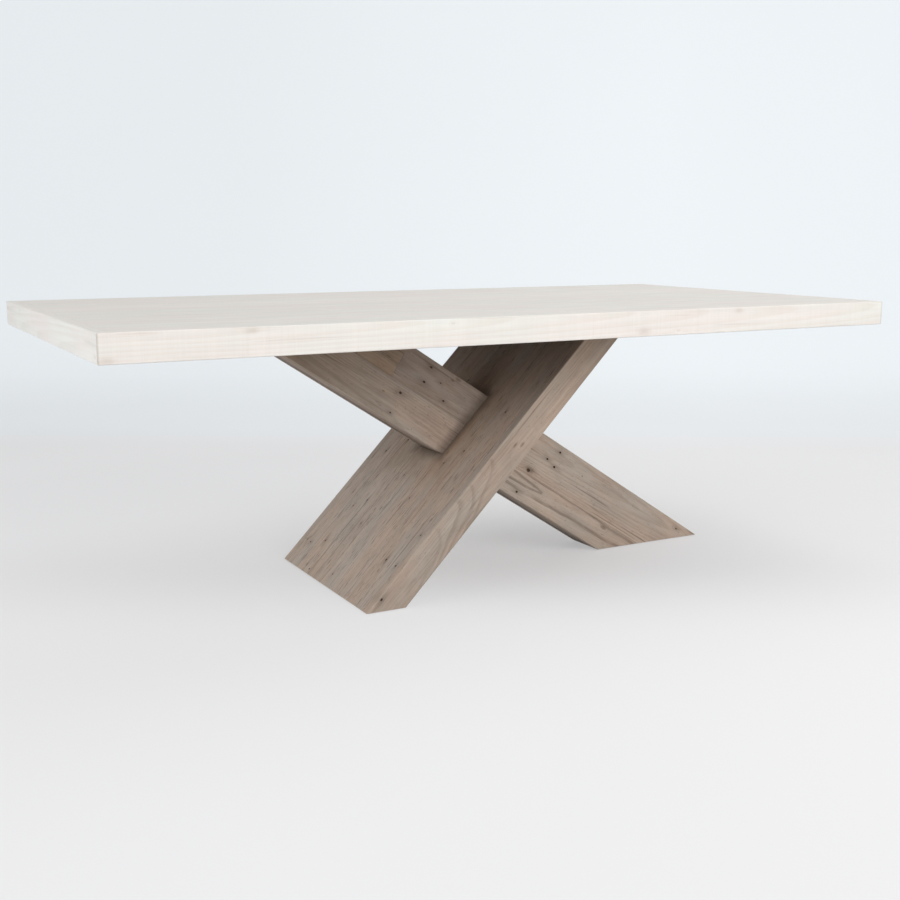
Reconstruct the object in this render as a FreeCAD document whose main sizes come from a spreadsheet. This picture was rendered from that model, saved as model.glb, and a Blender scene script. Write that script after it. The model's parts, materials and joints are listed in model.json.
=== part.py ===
import FreeCAD, Part
import os
import re
import Sketcher

# A dining table on a crossed base. The origin is on the floor under the middle of the top,
# +X runs along the top, +Y across it and +Z up. A wide boxed slab leans to the right, a boxed
# beam leans to the left and passes through a mortise in the slab. All sizes are in millimetres.

# Driving sizes: name, value, meaning
SIZES = [
    ("table_height", 760, "floor to upper face"),
    ("top_length", 2160, "top along X"),
    ("top_width", 1100, "top along Y"),
    ("top_thickness", 64, "height of the top's edge boards"),
    ("edge_thickness", 28, "edge boards, face to face"),
    ("plank_thickness", 30, "planks of the top"),
    ("plank_count", 7, "planks side by side"),
    ("tongue_length", 8, "how far a plank's tongue stands out"),
    ("tongue_thickness", 8, "tongue from face to face"),
    ("tongue_gap", 0.2, "play round a tongue in its groove"),
    ("spline_width", 18, "corner spline across the mitre"),
    ("spline_thickness", 6, "corner spline along the mitre"),
    ("spline_height", 44, "corner spline from the underside up"),
    ("spline_gap", 0.1, "play round a spline in its slot"),
    ("batten_width", 90, "battens near the ends of the top"),
    ("batten_inset", 110, "edge board to end batten"),
    ("batten_gap", 3, "batten's end to edge board, room for the planks to move"),
    ("slab_batten_width", 230, "batten over the slab's head"),
    ("beam_batten_width", 120, "battens over the beam's head"),
    ("beam_batten_pitch", 230, "between the two battens over the beam's head"),
    ("slab_width", 580, "slab across Y"),
    ("slab_thickness", 80, "slab square to its faces"),
    ("slab_run", 679, "slab's foot to its head along X"),
    ("slab_edge", 25, "slab's edge boards"),
    ("slab_skin", 20, "slab's face boards"),
    ("slab_seam_outer", 190, "seam of the face boards from the middle, narrow side"),
    ("slab_seam_inner", 20, "seam of the face boards that the mortise crosses"),
    ("slab_seam_far", 143, "seam of the face boards from the middle, wide side"),
    ("rail_depth", 110, "rails inside the slab along its length"),
    ("stile_width", 60, "stiles inside the slab beside the mortise"),
    ("saddle_depth", 60, "saddle blocks at the ends of the mortise"),
    ("beam_depth", 205, "beam square to its narrow faces"),
    ("beam_thickness", 134, "beam across Y"),
    ("beam_run", 1083, "beam's head to its foot along X"),
    ("beam_offset", 130, "beam's middle from the top's middle along X"),
    ("beam_skin", 20, "boards round the beam"),
    ("beam_head_seam", 2, "seam of the upper boards above the beam's middle line"),
    ("beam_strip_seam", 42, "seam of the short strips above the beam's middle line"),
    ("beam_foot_seam", 24, "seam of the lower boards below the beam's middle line"),
    ("beam_butt", 237, "head to the strips' butt joint along the beam"),
    ("block_length", 240, "foot block inside the beam from the end's middle"),
    ("core_length", 480, "core inside the beam where it crosses the slab"),
    ("block_gap", 70, "head block inside the beam to the core"),
    ("mortise_gap", 0.5, "play round the beam in its mortise"),
    ("skin_joint", 14, "slab's middle plane to the hidden joint of the beam's boards"),
    ("dowel_diameter", 16, "dowels that lock the crossing"),
    ("dowel_pitch", 90, "between the two dowels"),
    ("dowel_gap", 0.1, "play round a dowel"),
    ("plate_thickness", 5, "steel plates on the heads"),
    ("slab_plate_width", 200, "slab's plate along X"),
    ("slab_plate_length", 500, "slab's plate along Y"),
    ("beam_plate_length", 360, "beam's plate along X"),
    ("beam_plate_width", 230, "beam's plate along Y"),
    ("plate_corner", 12, "corner radius of the plates"),
    ("plate_gap", 0.5, "play round a plate in its recess"),
    ("bolt_edge", 20, "bolt's middle from the plate's edge"),
    ("bolt_diameter", 8, "bolt shank"),
    ("bolt_head_width", 13, "bolt head across its flats"),
    ("bolt_head_height", 5.5, "bolt head"),
    ("bolt_length", 24, "bolt under its head"),
    ("bolt_gap", 0.2, "play round a bolt"),
    ("bolt_end", 60, "slab bolt's middle from the plate's end"),
    ("insert_diameter", 12, "threaded insert"),
    ("insert_length", 18, "threaded insert"),
    ("insert_room", 5, "hole past the insert's end"),
    ("screw_diameter", 6, "head screws"),
    ("screw_head", 11, "head screw's countersunk head"),
    ("screw_head_height", 2.5, "head screw's countersunk head"),
    ("screw_length", 44, "head screw overall"),
    ("screw_gap", 0.1, "play round a head screw"),
    ("slab_screw_end", 70, "slab's outer head screws from the plate's ends"),
    ("beam_screw_end", 110, "beam's head screws from the ends of its head"),
    ("pad_thickness", 3, "felt pads under the feet"),
    ("pad_inset", 12, "felt pads inside the outline of the feet"),
    ("slab_pad_length", 200, "felt pads under the slab along Y"),
    ("beam_pad_length", 100, "felt pads under the beam along X"),
    ("arris", 2, "eased outer edges"),
]

# Sizes that follow from the driving ones: name, formula, meaning
RELATIONS = [
    ("under_height", "table_height - top_thickness", "floor to the heads of the legs"),
    ("mid_height", "under_height / 2", "half way up the legs"),
    ("plank_base", "table_height - plank_thickness", "underside of the planks"),
    ("field_length", "top_length - 2 * edge_thickness", "planked field along X"),
    ("field_width", "top_width - 2 * edge_thickness", "planked field along Y"),
    ("plank_width", "field_width / plank_count", "one plank without its tongue"),
    ("tongue_middle", "plank_base + plank_thickness / 2", "height of the tongues"),
    ("slab_lean", "slab_run / under_height", "slab along X for each unit of height"),
    ("slab_stretch", "sqrt(1 + slab_lean * slab_lean)", "level cut through the slab over its thickness"),
    ("slab_length", "under_height * slab_stretch", "slab along its own length"),
    ("slab_half", "slab_thickness / 2", "slab's middle plane to its faces"),
    ("slab_hollow", "slab_half - slab_skin", "slab's middle plane to the inside of its faces"),
    ("slab_inside", "slab_width / 2 - slab_edge", "slab's middle to the inside of its edges"),
    ("slab_head", "slab_run / 2", "middle of the slab's head along X"),
    ("slab_cut", "slab_half * slab_stretch", "half of the slab's level cut"),
    ("beam_lean", "beam_run / under_height", "beam along X for each unit of height"),
    ("beam_stretch", "sqrt(1 + beam_lean * beam_lean)", "level cut through the beam over its depth"),
    ("beam_length", "under_height * beam_stretch", "beam along its own length"),
    ("beam_half", "beam_depth / 2", "beam's middle line to its narrow faces"),
    ("beam_hollow", "beam_half - beam_skin", "beam's middle line to the inside of its narrow faces"),
    ("beam_side", "beam_thickness / 2", "beam's middle to its wide faces"),
    ("beam_inside", "beam_side - beam_skin", "beam's middle to the inside of its wide faces"),
    ("beam_cut", "beam_half * beam_stretch", "half of the beam's level cut"),
    ("beam_head", "beam_offset - beam_run / 2", "middle of the beam's head along X"),
    ("beam_foot", "beam_offset + beam_run / 2", "middle of the beam's foot along X"),
    ("crossing_height", "mid_height + beam_offset / (slab_lean + beam_lean)", "where the legs cross"),
    ("crossing_run", "(under_height - crossing_height) * beam_stretch", "head to crossing along the beam"),
    ("mortise_side", "beam_side + mortise_gap", "middle to the sides of the mortise"),
    ("mortise_end", "beam_half + mortise_gap", "beam's middle line to the ends of the mortise"),
    ("dowel_reach", "mortise_side + stile_width", "middle to the ends of the dowels"),
    ("slab_plate_x", "slab_plate_width / 2", "half of the slab's plate along X"),
    ("slab_plate_y", "slab_plate_length / 2", "half of the slab's plate along Y"),
    ("beam_plate_x", "beam_plate_length / 2", "half of the beam's plate along X"),
    ("beam_plate_y", "beam_plate_width / 2", "half of the beam's plate along Y"),
    ("screw_middle", "(screw_length - plate_thickness) / 2", "head of a leg to the middle of its screws"),
    ("plate_top", "under_height + plate_thickness", "upper face of the plates"),
    ("insert_top", "plate_top + insert_length", "upper end of the inserts"),
    ("screw_tip", "plate_top - screw_length", "lower end of the head screws"),
]

doc = FreeCAD.newDocument("crossed_table")
dims = doc.addObject("Spreadsheet::Sheet", "dims")
NAMES = set()
for row, (name, value, meaning) in enumerate(SIZES + RELATIONS, start=1):
    dims.set(f"A{row}", name)
    dims.set(f"B{row}", str(value) if isinstance(value, (int, float)) else "=" + value)
    dims.set(f"C{row}", meaning)
    dims.setAlias(f"B{row}", name)
    NAMES.add(name)
doc.recompute()


# Formulas and where they are used


def bind(item, path, formula):
    """Ties one property of a feature to the sheet."""
    item.setExpression(path, re.sub(r"[a-z]\w*", lambda word: sheet_word(word.group()), str(formula)))


def sheet_word(word):
    return f"dims.{word}" if word in NAMES else word


def measure(formula):
    """The present value of a formula."""
    return float(dims.evalExpression(str(formula)))


# Points of the leaning legs, each a pair of formulas for X and Z


def on_slab(offset, height):
    """On the slab at a height, offset square to its faces, positive to the upper face."""
    return f"slab_lean * (({height}) - mid_height) - ({offset}) * slab_stretch", f"{height}"


def on_beam(offset, height):
    """On the beam at a height, offset square to its narrow faces, positive to the upper one."""
    return f"beam_offset - beam_lean * (({height}) - mid_height) + ({offset}) * beam_stretch", f"{height}"


def meeting(slab_offset, beam_offset_up):
    """Where a line along the slab crosses a line along the beam."""
    apart = f"(beam_offset + ({beam_offset_up}) * beam_stretch + ({slab_offset}) * slab_stretch)"
    return on_slab(slab_offset, f"mid_height + {apart} / (slab_lean + beam_lean)")


def along_slab(distance, offset):
    """On a square cut through the slab at a distance from the middle of its foot."""
    return (
        f"(({distance}) * slab_lean - ({offset})) / slab_stretch - slab_head",
        f"(({distance}) + ({offset}) * slab_lean) / slab_stretch",
    )


def along_beam(distance, offset):
    """On a square cut through the beam at a distance from the middle of its head."""
    return (
        f"beam_head + (({distance}) * beam_lean + ({offset})) / beam_stretch",
        f"under_height + (({offset}) * beam_lean - ({distance})) / beam_stretch",
    )


def rectangle(low_x, high_x, low_y, high_y):
    return [(low_x, low_y), (high_x, low_y), (high_x, high_y), (low_x, high_y)]


def around(middle_x, middle_y, half_x, half_y):
    """A rectangle about its middle."""
    return rectangle(
        f"{middle_x} - ({half_x})",
        f"{middle_x} + ({half_x})",
        f"{middle_y} - ({half_y})",
        f"{middle_y} + ({half_y})",
    )


# Bodies and their features

SIDES = (-1, 1)
LEVEL_SIGN = {"XY_Plane": "", "YZ_Plane": "", "XZ_Plane": "-"}
subparts = []


def new_body(label):
    body = doc.addObject("PartDesign::Body", label)
    body.Label = label
    body.AllowCompound = True
    subparts.append(body)
    return body


def new_sketch(body, plane, level):
    """A sketch on one of the body's own planes, moved to a level along X, Y or Z."""
    sketch = body.newObject("Sketcher::SketchObject", f"{body.Label}_sketch")
    sketch.AttachmentSupport = (next(p for p in body.Origin.OriginFeatures if p.Role == plane), "")
    sketch.MapMode = "FlatFace"
    bind(sketch, "AttachmentOffset.Base.z", f"{LEVEL_SIGN[plane]}({level})")
    return sketch


def fix_point(sketch, piece, end, spot):
    """Holds one point of a sketch at a pair of formulas."""
    for kind, formula in zip(("DistanceX", "DistanceY"), spot):
        index = sketch.addConstraint(Sketcher.Constraint(kind, -1, 1, piece, end, measure(formula)))
        bind(sketch, f"Constraints[{index}]", formula)


def draw_outline(sketch, corners):
    """A closed outline of straight lines."""
    spots = [FreeCAD.Vector(measure(u), measure(v), 0) for u, v in corners]
    first = sketch.GeometryCount
    for start, end in zip(spots, spots[1:] + spots[:1]):
        sketch.addGeometry(Part.LineSegment(start, end))
    for index, corner in enumerate(corners):
        after = first + (index + 1) % len(corners)
        sketch.addConstraint(Sketcher.Constraint("Coincident", first + index, 2, after, 1))
        fix_point(sketch, first + index, 1, corner)


def draw_circles(sketch, middles, diameter):
    for middle in middles:
        spot = FreeCAD.Vector(measure(middle[0]), measure(middle[1]), 0)
        circle = sketch.addGeometry(Part.Circle(spot, FreeCAD.Vector(0, 0, 1), measure(diameter) / 2))
        fix_point(sketch, circle, 3, middle)
        index = sketch.addConstraint(Sketcher.Constraint("Diameter", circle, measure(diameter)))
        bind(sketch, f"Constraints[{index}]", diameter)


def add_pad(body, sketch, length, reverse=False):
    pad = body.newObject("PartDesign::Pad", f"{body.Label}_pad")
    pad.Profile = sketch
    pad.Reversed = reverse
    bind(pad, "Length", length)
    return pad


def add_pocket(body, sketch, length, reverse=False):
    pocket = body.newObject("PartDesign::Pocket", f"{body.Label}_pocket")
    pocket.Profile = sketch
    pocket.Reversed = reverse
    bind(pocket, "Length", length)
    return pocket


def leg_board(label, corners, low_y, high_y):
    """A board of a leg: an outline seen from the front, between two places across the table."""
    body = new_body(label)
    sketch = new_sketch(body, "XZ_Plane", high_y)
    draw_outline(sketch, corners)
    add_pad(body, sketch, f"({high_y}) - ({low_y})")
    return body


def flat_board(label, corners, low_z, high_z):
    """A level board: an outline seen from above, between two heights."""
    body = new_body(label)
    sketch = new_sketch(body, "XY_Plane", low_z)
    draw_outline(sketch, corners)
    add_pad(body, sketch, f"({high_z}) - ({low_z})")
    return body


def cut_across(body, corners, low_y, high_y):
    """Cuts an outline out of a leg board between two places across the table."""
    sketch = new_sketch(body, "XZ_Plane", low_y)
    draw_outline(sketch, corners)
    add_pocket(body, sketch, f"({high_y}) - ({low_y})")


def bore_across(body, middles, diameter, low_y, high_y):
    sketch = new_sketch(body, "XZ_Plane", low_y)
    draw_circles(sketch, middles, diameter)
    add_pocket(body, sketch, f"({high_y}) - ({low_y})")


def cut_upwards(body, outlines, low_z, high_z):
    sketch = new_sketch(body, "XY_Plane", low_z)
    for corners in outlines:
        draw_outline(sketch, corners)
    add_pocket(body, sketch, f"({high_z}) - ({low_z})", reverse=True)


def bore_upwards(body, middles, diameter, low_z, high_z):
    sketch = new_sketch(body, "XY_Plane", low_z)
    draw_circles(sketch, middles, diameter)
    add_pocket(body, sketch, f"({high_z}) - ({low_z})", reverse=True)


def pegs(body, middles, diameter, low_z, high_z):
    """Upright round stock, one peg at each place."""
    sketch = new_sketch(body, "XY_Plane", low_z)
    draw_circles(sketch, middles, diameter)
    return add_pad(body, sketch, f"({high_z}) - ({low_z})")


# Planks of the top, tongued on the front edge and grooved on the back one


def top_plank(index, last):
    body = new_body(f"top_plank_{index + 1}")
    front = f"{index} * plank_width - field_width / 2"
    back = f"{index + 1} * plank_width - field_width / 2"
    groove = f"{back} - tongue_length - tongue_gap"
    groove_half = "(tongue_thickness / 2 + tongue_gap)"
    corners = [(front, "plank_base"), (back, "plank_base")]
    if index < last:
        low, high = f"tongue_middle - {groove_half}", f"tongue_middle + {groove_half}"
        corners += [(back, low), (groove, low), (groove, high), (back, high)]
    corners += [(back, "table_height"), (front, "table_height")]
    if index > 0:
        tongue = f"{front} - tongue_length"
        low, high = "tongue_middle - tongue_thickness / 2", "tongue_middle + tongue_thickness / 2"
        corners += [(front, high), (tongue, high), (tongue, low), (front, low)]
    sketch = new_sketch(body, "YZ_Plane", "-field_length / 2")
    draw_outline(sketch, corners)
    add_pad(body, sketch, "field_length")


# Edge boards, mitred at the corners of the top, and the splines across the mitres


def spline_outline(side_x, side_y, play):
    """A spline's outline about the middle of one mitre, square to it."""
    middle_x = f"{side_x} * (top_length - edge_thickness) / 2"
    middle_y = f"{side_y} * (top_width - edge_thickness) / 2"
    across = f"(spline_width / 2 + {play}) / sqrt(2)"
    along = f"(spline_thickness / 2 + {play}) / sqrt(2)"
    return [
        (
            f"{middle_x} + {side_x} * ({a} * {across} + {b} * {along})",
            f"{middle_y} + {side_y} * ({b} * {along} - {a} * {across})",
        )
        for a, b in ((-1, -1), (1, -1), (1, 1), (-1, 1))
    ]


def edge_board(label, corners, ends):
    body = flat_board(label, corners, "under_height", "table_height")
    slots = [spline_outline(side_x, side_y, "spline_gap") for side_x, side_y in ends]
    cut_upwards(body, slots, "under_height", "under_height + spline_height + spline_gap")


def edge_boards():
    out_x, out_y = "top_length / 2", "top_width / 2"
    in_x, in_y = "field_length / 2", "field_width / 2"
    for label, side in (("front", -1), ("back", 1)):
        outer, inner = f"{side} * {out_y}", f"{side} * {in_y}"
        corners = [(f"-{out_x}", outer), (out_x, outer), (in_x, inner), (f"-{in_x}", inner)]
        edge_board(f"edge_board_{label}", corners, ((-1, side), (1, side)))
    for label, side in (("left", -1), ("right", 1)):
        outer, inner = f"{side} * {out_x}", f"{side} * {in_x}"
        corners = [(outer, f"-{out_y}"), (outer, out_y), (inner, in_y), (inner, f"-{in_y}")]
        edge_board(f"edge_board_{label}", corners, ((side, -1), (side, 1)))


def corner_splines():
    body = new_body("corner_splines")
    sketch = new_sketch(body, "XY_Plane", "under_height")
    for side_x in SIDES:
        for side_y in SIDES:
            draw_outline(sketch, spline_outline(side_x, side_y, "0"))
    add_pad(body, sketch, "spline_height")


# Places of the bolts, inserts and head screws, as seen from above

SLAB_BOLTS = [
    (f"slab_head + {side} * (slab_plate_x - bolt_edge)", f"{end} * (slab_plate_y - bolt_end)")
    for side in SIDES
    for end in SIDES
]
BEAM_OUTER_BOLTS, BEAM_INNER_BOLTS = (
    [(f"beam_head + {end} * beam_batten_pitch / 2", f"{side} * (beam_plate_y - bolt_edge)") for side in SIDES]
    for end in SIDES
)
SLAB_SCREWS = [
    ("slab_head - slab_lean * screw_middle", f"{step} * (slab_plate_y - slab_screw_end)") for step in (-1, 0, 1)
]
BEAM_SCREWS = [(f"beam_head + beam_lean * screw_middle + {end} * (beam_cut - beam_screw_end)", "0") for end in SIDES]
BOLTS = SLAB_BOLTS + BEAM_OUTER_BOLTS + BEAM_INNER_BOLTS
SCREWS = SLAB_SCREWS + BEAM_SCREWS


# Battens under the planks, recessed for the steel plates and bored for the inserts


def batten(label, middle_x, width):
    half_y = "field_width / 2 - batten_gap"
    return flat_board(label, around(middle_x, "0", f"{width} / 2", half_y), "under_height", "plank_base")


def plate_batten(label, middle_x, width, recess, bolts):
    body = batten(label, middle_x, width)
    cut_upwards(body, [recess], "under_height", "plate_top")
    bore_upwards(body, bolts, "insert_diameter", "under_height", "insert_top + insert_room")


def battens():
    end_x = "field_length / 2 - batten_inset - batten_width / 2"
    batten("batten_left", f"-({end_x})", "batten_width")
    batten("batten_right", end_x, "batten_width")
    recess = around("slab_head", "0", "slab_plate_x + plate_gap", "slab_plate_y + plate_gap")
    plate_batten("batten_slab", "slab_head", "slab_batten_width", recess, SLAB_BOLTS)
    recess = around("beam_head", "0", "beam_plate_x + plate_gap", "beam_plate_y + plate_gap")
    for name, end, bolts in (("outer", -1, BEAM_OUTER_BOLTS), ("inner", 1, BEAM_INNER_BOLTS)):
        middle_x = f"beam_head + {end} * beam_batten_pitch / 2"
        plate_batten(f"batten_beam_{name}", middle_x, "beam_batten_width", recess, bolts)


# The slab: two edge boards, face boards of mixed widths and a frame of rails, stiles and saddles

FOOT, HEAD = "pad_thickness", "under_height"


def slab_strip(low, high):
    """The outline of a full-length board of the slab between two offsets from its middle plane."""
    return [on_slab(low, FOOT), on_slab(high, FOOT), on_slab(high, HEAD), on_slab(low, HEAD)]


def slab_faces(name, low, high, side):
    """Five boards of one wide face; the mortise parts one of them and notches the next."""
    seams = ["slab_inside", "slab_seam_outer", "mortise_side", "slab_seam_inner", "-slab_seam_far", "-slab_inside"]
    places = [sorted((f"{side} * ({a})", f"{side} * ({b})"), key=measure) for a, b in zip(seams, seams[1:])]
    label = f"slab_{name}_board"
    strip = slab_strip(low, high)
    for index in (0, 1, 4):
        leg_board(f"{label}_{index + 1}", strip, *places[index])
    under, over = "-mortise_end", "mortise_end"
    foot_part = strip[:2] + [meeting(high, under), meeting(low, under)]
    head_part = [meeting(low, over), meeting(high, over)] + strip[2:]
    leg_board(f"{label}_3_foot", foot_part, *places[2])
    leg_board(f"{label}_3_head", head_part, *places[2])
    notched = leg_board(f"{label}_4", strip, *places[3])
    notch = [meeting(low, under), meeting(high, under), meeting(high, over), meeting(low, over)]
    sides = sorted((f"{side} * slab_seam_inner", f"-{side} * mortise_side"), key=measure)
    cut_across(notched, notch, *sides)


def slab_frame():
    low, high = "-slab_hollow", "slab_hollow"
    rail_top, rail_base = "rail_depth", "slab_length - rail_depth"
    foot_rail = [on_slab(low, FOOT), on_slab(high, FOOT), along_slab(rail_top, high), along_slab(rail_top, low)]
    leg_board("slab_foot_rail", foot_rail, "-slab_inside", "slab_inside")
    head_rail = [along_slab(rail_base, low), along_slab(rail_base, high), on_slab(high, HEAD), on_slab(low, HEAD)]
    body = leg_board("slab_head_rail", head_rail, "-slab_inside", "slab_inside")
    bore_upwards(body, SLAB_SCREWS, "screw_diameter + 2 * screw_gap", "screw_tip - screw_gap", "under_height")
    stile = [
        along_slab(rail_top, low),
        along_slab(rail_top, high),
        along_slab(rail_base, high),
        along_slab(rail_base, low),
    ]
    for name, side in (("front", -1), ("back", 1)):
        sides = sorted((f"{side} * mortise_side", f"{side} * dowel_reach"), key=measure)
        body = leg_board(f"slab_stile_{name}", stile, *sides)
        bore_across(body, DOWELS, "dowel_diameter + 2 * dowel_gap", *sides)
    for name, side in (("foot", -1), ("head", 1)):
        near, far = f"{side} * mortise_end", f"{side} * (mortise_end + saddle_depth)"
        saddle = [meeting(low, near), meeting(high, near), meeting(high, far), meeting(low, far)]
        leg_board(f"slab_saddle_{name}", saddle, "-mortise_side", "mortise_side")


def slab():
    for name, side in (("front", -1), ("back", 1)):
        sides = sorted((f"{side} * slab_inside", f"{side} * slab_width / 2"), key=measure)
        leg_board(f"slab_edge_{name}", slab_strip("-slab_half", "slab_half"), *sides)
    slab_faces("upper", "slab_hollow", "slab_half", 1)
    slab_faces("under", "-slab_half", "-slab_hollow", -1)
    slab_frame()


# The beam: boards on its four sides round three blocks; its boards meet inside the mortise

DOWELS = [meeting("0", f"{side} * dowel_pitch / 2") for side in SIDES]


def beam_strip(low, high):
    """The outline of a full-length board of the beam between two offsets from its middle line."""
    return [on_beam(low, HEAD), on_beam(high, HEAD), on_beam(high, FOOT), on_beam(low, FOOT)]


def head_board(low, high):
    joint = "-skin_joint"
    return [on_beam(low, HEAD), on_beam(high, HEAD), meeting(joint, high), meeting(joint, low)]


def foot_board(low, high):
    joint = "-skin_joint"
    return [meeting(joint, low), meeting(joint, high), on_beam(high, FOOT), on_beam(low, FOOT)]


def short_strip(low, high):
    return [on_beam(low, HEAD), on_beam(high, HEAD), along_beam("beam_butt", high), along_beam("beam_butt", low)]


def after_butt(low, high):
    joint = "-skin_joint"
    return [along_beam("beam_butt", low), along_beam("beam_butt", high), meeting(joint, high), meeting(joint, low)]


def beam_faces(name, sides, head_outlines):
    """Boards of one wide face; those over the crossing are bored for the dowels."""
    low, high = "-beam_half", "beam_half"
    outlines = dict(head_outlines)
    outlines["head_lower"] = head_board(low, "beam_head_seam")
    outlines["foot_upper"] = foot_board("-beam_foot_seam", high)
    outlines["foot_lower"] = foot_board(low, "-beam_foot_seam")
    for place, corners in outlines.items():
        body = leg_board(f"beam_{name}_{place}", corners, *sides)
        dowel = {"head_lower": DOWELS[:1], "head_upper": DOWELS[1:]}.get(place)
        if dowel:
            bore_across(body, dowel, "dowel_diameter + 2 * dowel_gap", *sides)


def beam_inside():
    low, high = "-beam_hollow", "beam_hollow"
    sides = ("-beam_inside", "beam_inside")
    start, end = "crossing_run - core_length / 2", "crossing_run + core_length / 2"
    head, foot = f"{start} - block_gap", "beam_length - block_length"
    block = [on_beam(low, HEAD), on_beam(high, HEAD), along_beam(head, high), along_beam(head, low)]
    body = leg_board("beam_head_block", block, *sides)
    bore_upwards(body, BEAM_SCREWS, "screw_diameter + 2 * screw_gap", "screw_tip - screw_gap", "under_height")
    block = [along_beam(foot, low), along_beam(foot, high), on_beam(high, FOOT), on_beam(low, FOOT)]
    leg_board("beam_foot_block", block, *sides)
    core = [along_beam(start, low), along_beam(start, high), along_beam(end, high), along_beam(end, low)]
    body = leg_board("beam_core", core, *sides)
    bore_across(body, DOWELS, "dowel_diameter + 2 * dowel_gap", *sides)


def beam():
    front_head = {
        "head_strip_upper": short_strip("beam_strip_seam", "beam_half"),
        "head_strip_middle": short_strip("beam_head_seam", "beam_strip_seam"),
        "head_upper": after_butt("beam_head_seam", "beam_half"),
    }
    back_head = {"head_upper": head_board("beam_head_seam", "beam_half")}
    beam_faces("front", ("-beam_side", "-beam_inside"), front_head)
    beam_faces("back", ("beam_inside", "beam_side"), back_head)
    leg_board("beam_upper_board", beam_strip("beam_hollow", "beam_half"), "-beam_inside", "beam_inside")
    leg_board("beam_under_board", beam_strip("-beam_half", "-beam_hollow"), "-beam_inside", "beam_inside")
    beam_inside()


def crossing_dowels():
    body = new_body("crossing_dowels")
    sketch = new_sketch(body, "XZ_Plane", "dowel_reach")
    draw_circles(sketch, DOWELS, "dowel_diameter")
    add_pad(body, sketch, "2 * dowel_reach")


# Steel plates on the heads, the bolts and inserts that hold the top, and the head screws


def head_plate(label, corners, bolts, screws):
    body = flat_board(label, corners, "under_height", "plate_top")
    bore_upwards(body, bolts, "bolt_diameter + 2 * bolt_gap", "under_height", "plate_top")
    bore_upwards(body, screws, "screw_diameter + 2 * screw_gap", "under_height", "plate_top")
    sketch = new_sketch(body, "XY_Plane", "plate_top")
    draw_circles(sketch, screws, "screw_head + 2 * screw_gap")
    add_pocket(body, sketch, "screw_head_height")
    return body


def head_plates():
    corners = around("slab_head", "0", "slab_plate_x", "slab_plate_y")
    head_plate("slab_plate", corners, SLAB_BOLTS, SLAB_SCREWS)
    corners = around("beam_head", "0", "beam_plate_x", "beam_plate_y")
    head_plate("beam_plate", corners, BEAM_OUTER_BOLTS + BEAM_INNER_BOLTS, BEAM_SCREWS)


def hexagon(middle):
    """A bolt head's outline about a place, flats along X."""
    flat, corner = "bolt_head_width / 2", "bolt_head_width / sqrt(3)"
    steps = ((0, 1), (1, 0.5), (1, -0.5), (0, -1), (-1, -0.5), (-1, 0.5))
    return [(f"{middle[0]} + {a} * {flat}", f"{middle[1]} + {b} * {corner}") for a, b in steps]


def plate_bolts():
    body = new_body("plate_bolts")
    sketch = new_sketch(body, "XY_Plane", "under_height")
    for middle in BOLTS:
        draw_outline(sketch, hexagon(middle))
    add_pad(body, sketch, "bolt_head_height", reverse=True)
    pegs(body, BOLTS, "bolt_diameter", "under_height", "under_height + bolt_length")


def threaded_inserts():
    body = new_body("threaded_inserts")
    sketch = new_sketch(body, "XY_Plane", "plate_top")
    draw_circles(sketch, BOLTS, "insert_diameter")
    draw_circles(sketch, BOLTS, "bolt_diameter + 2 * bolt_gap")
    add_pad(body, sketch, "insert_length")


def head_screws():
    body = new_body("head_screws")
    pegs(body, SCREWS, "screw_diameter", "screw_tip", "plate_top - screw_head_height")
    pegs(body, SCREWS, "screw_head", "plate_top - screw_head_height", "plate_top")


def foot_pads():
    """Two felt pads under each foot, inside its outline."""
    body = new_body("foot_pads")
    sketch = new_sketch(body, "XY_Plane", "0")
    middle = "slab_lean * pad_thickness - slab_head"
    for side in SIDES:
        middle_y = f"{side} * (slab_width / 2 - pad_inset - slab_pad_length / 2)"
        draw_outline(sketch, around(middle, middle_y, "slab_cut - pad_inset", "slab_pad_length / 2"))
    middle = "beam_foot - beam_lean * pad_thickness"
    for end in SIDES:
        middle_x = f"{middle} + {end} * (beam_cut - pad_inset - beam_pad_length / 2)"
        draw_outline(sketch, around(middle_x, "0", "beam_pad_length / 2", "beam_side - pad_inset"))
    add_pad(body, sketch, "pad_thickness")


# Eased outer edges and rounded plate corners, found by where the edges lie


def ease(label, feature, size, wanted):
    """Chamfers or fillets the edges of a body that a test picks by their middle and direction."""
    body = next(piece for piece in subparts if piece.Label == label)
    base = body.Tip
    picked = [
        f"Edge{number}"
        for number, edge in enumerate(base.Shape.Edges, start=1)
        if wanted(edge.CenterOfMass, edge.Vertexes[-1].Point - edge.Vertexes[0].Point)
    ]
    eased = body.newObject(f"PartDesign::{feature}", f"{label}_{feature.lower()}")
    eased.Base = (base, picked)
    bind(eased, "Size" if feature == "Chamfer" else "Radius", size)


def near(a, b):
    return abs(a - b) < 1e-4


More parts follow.
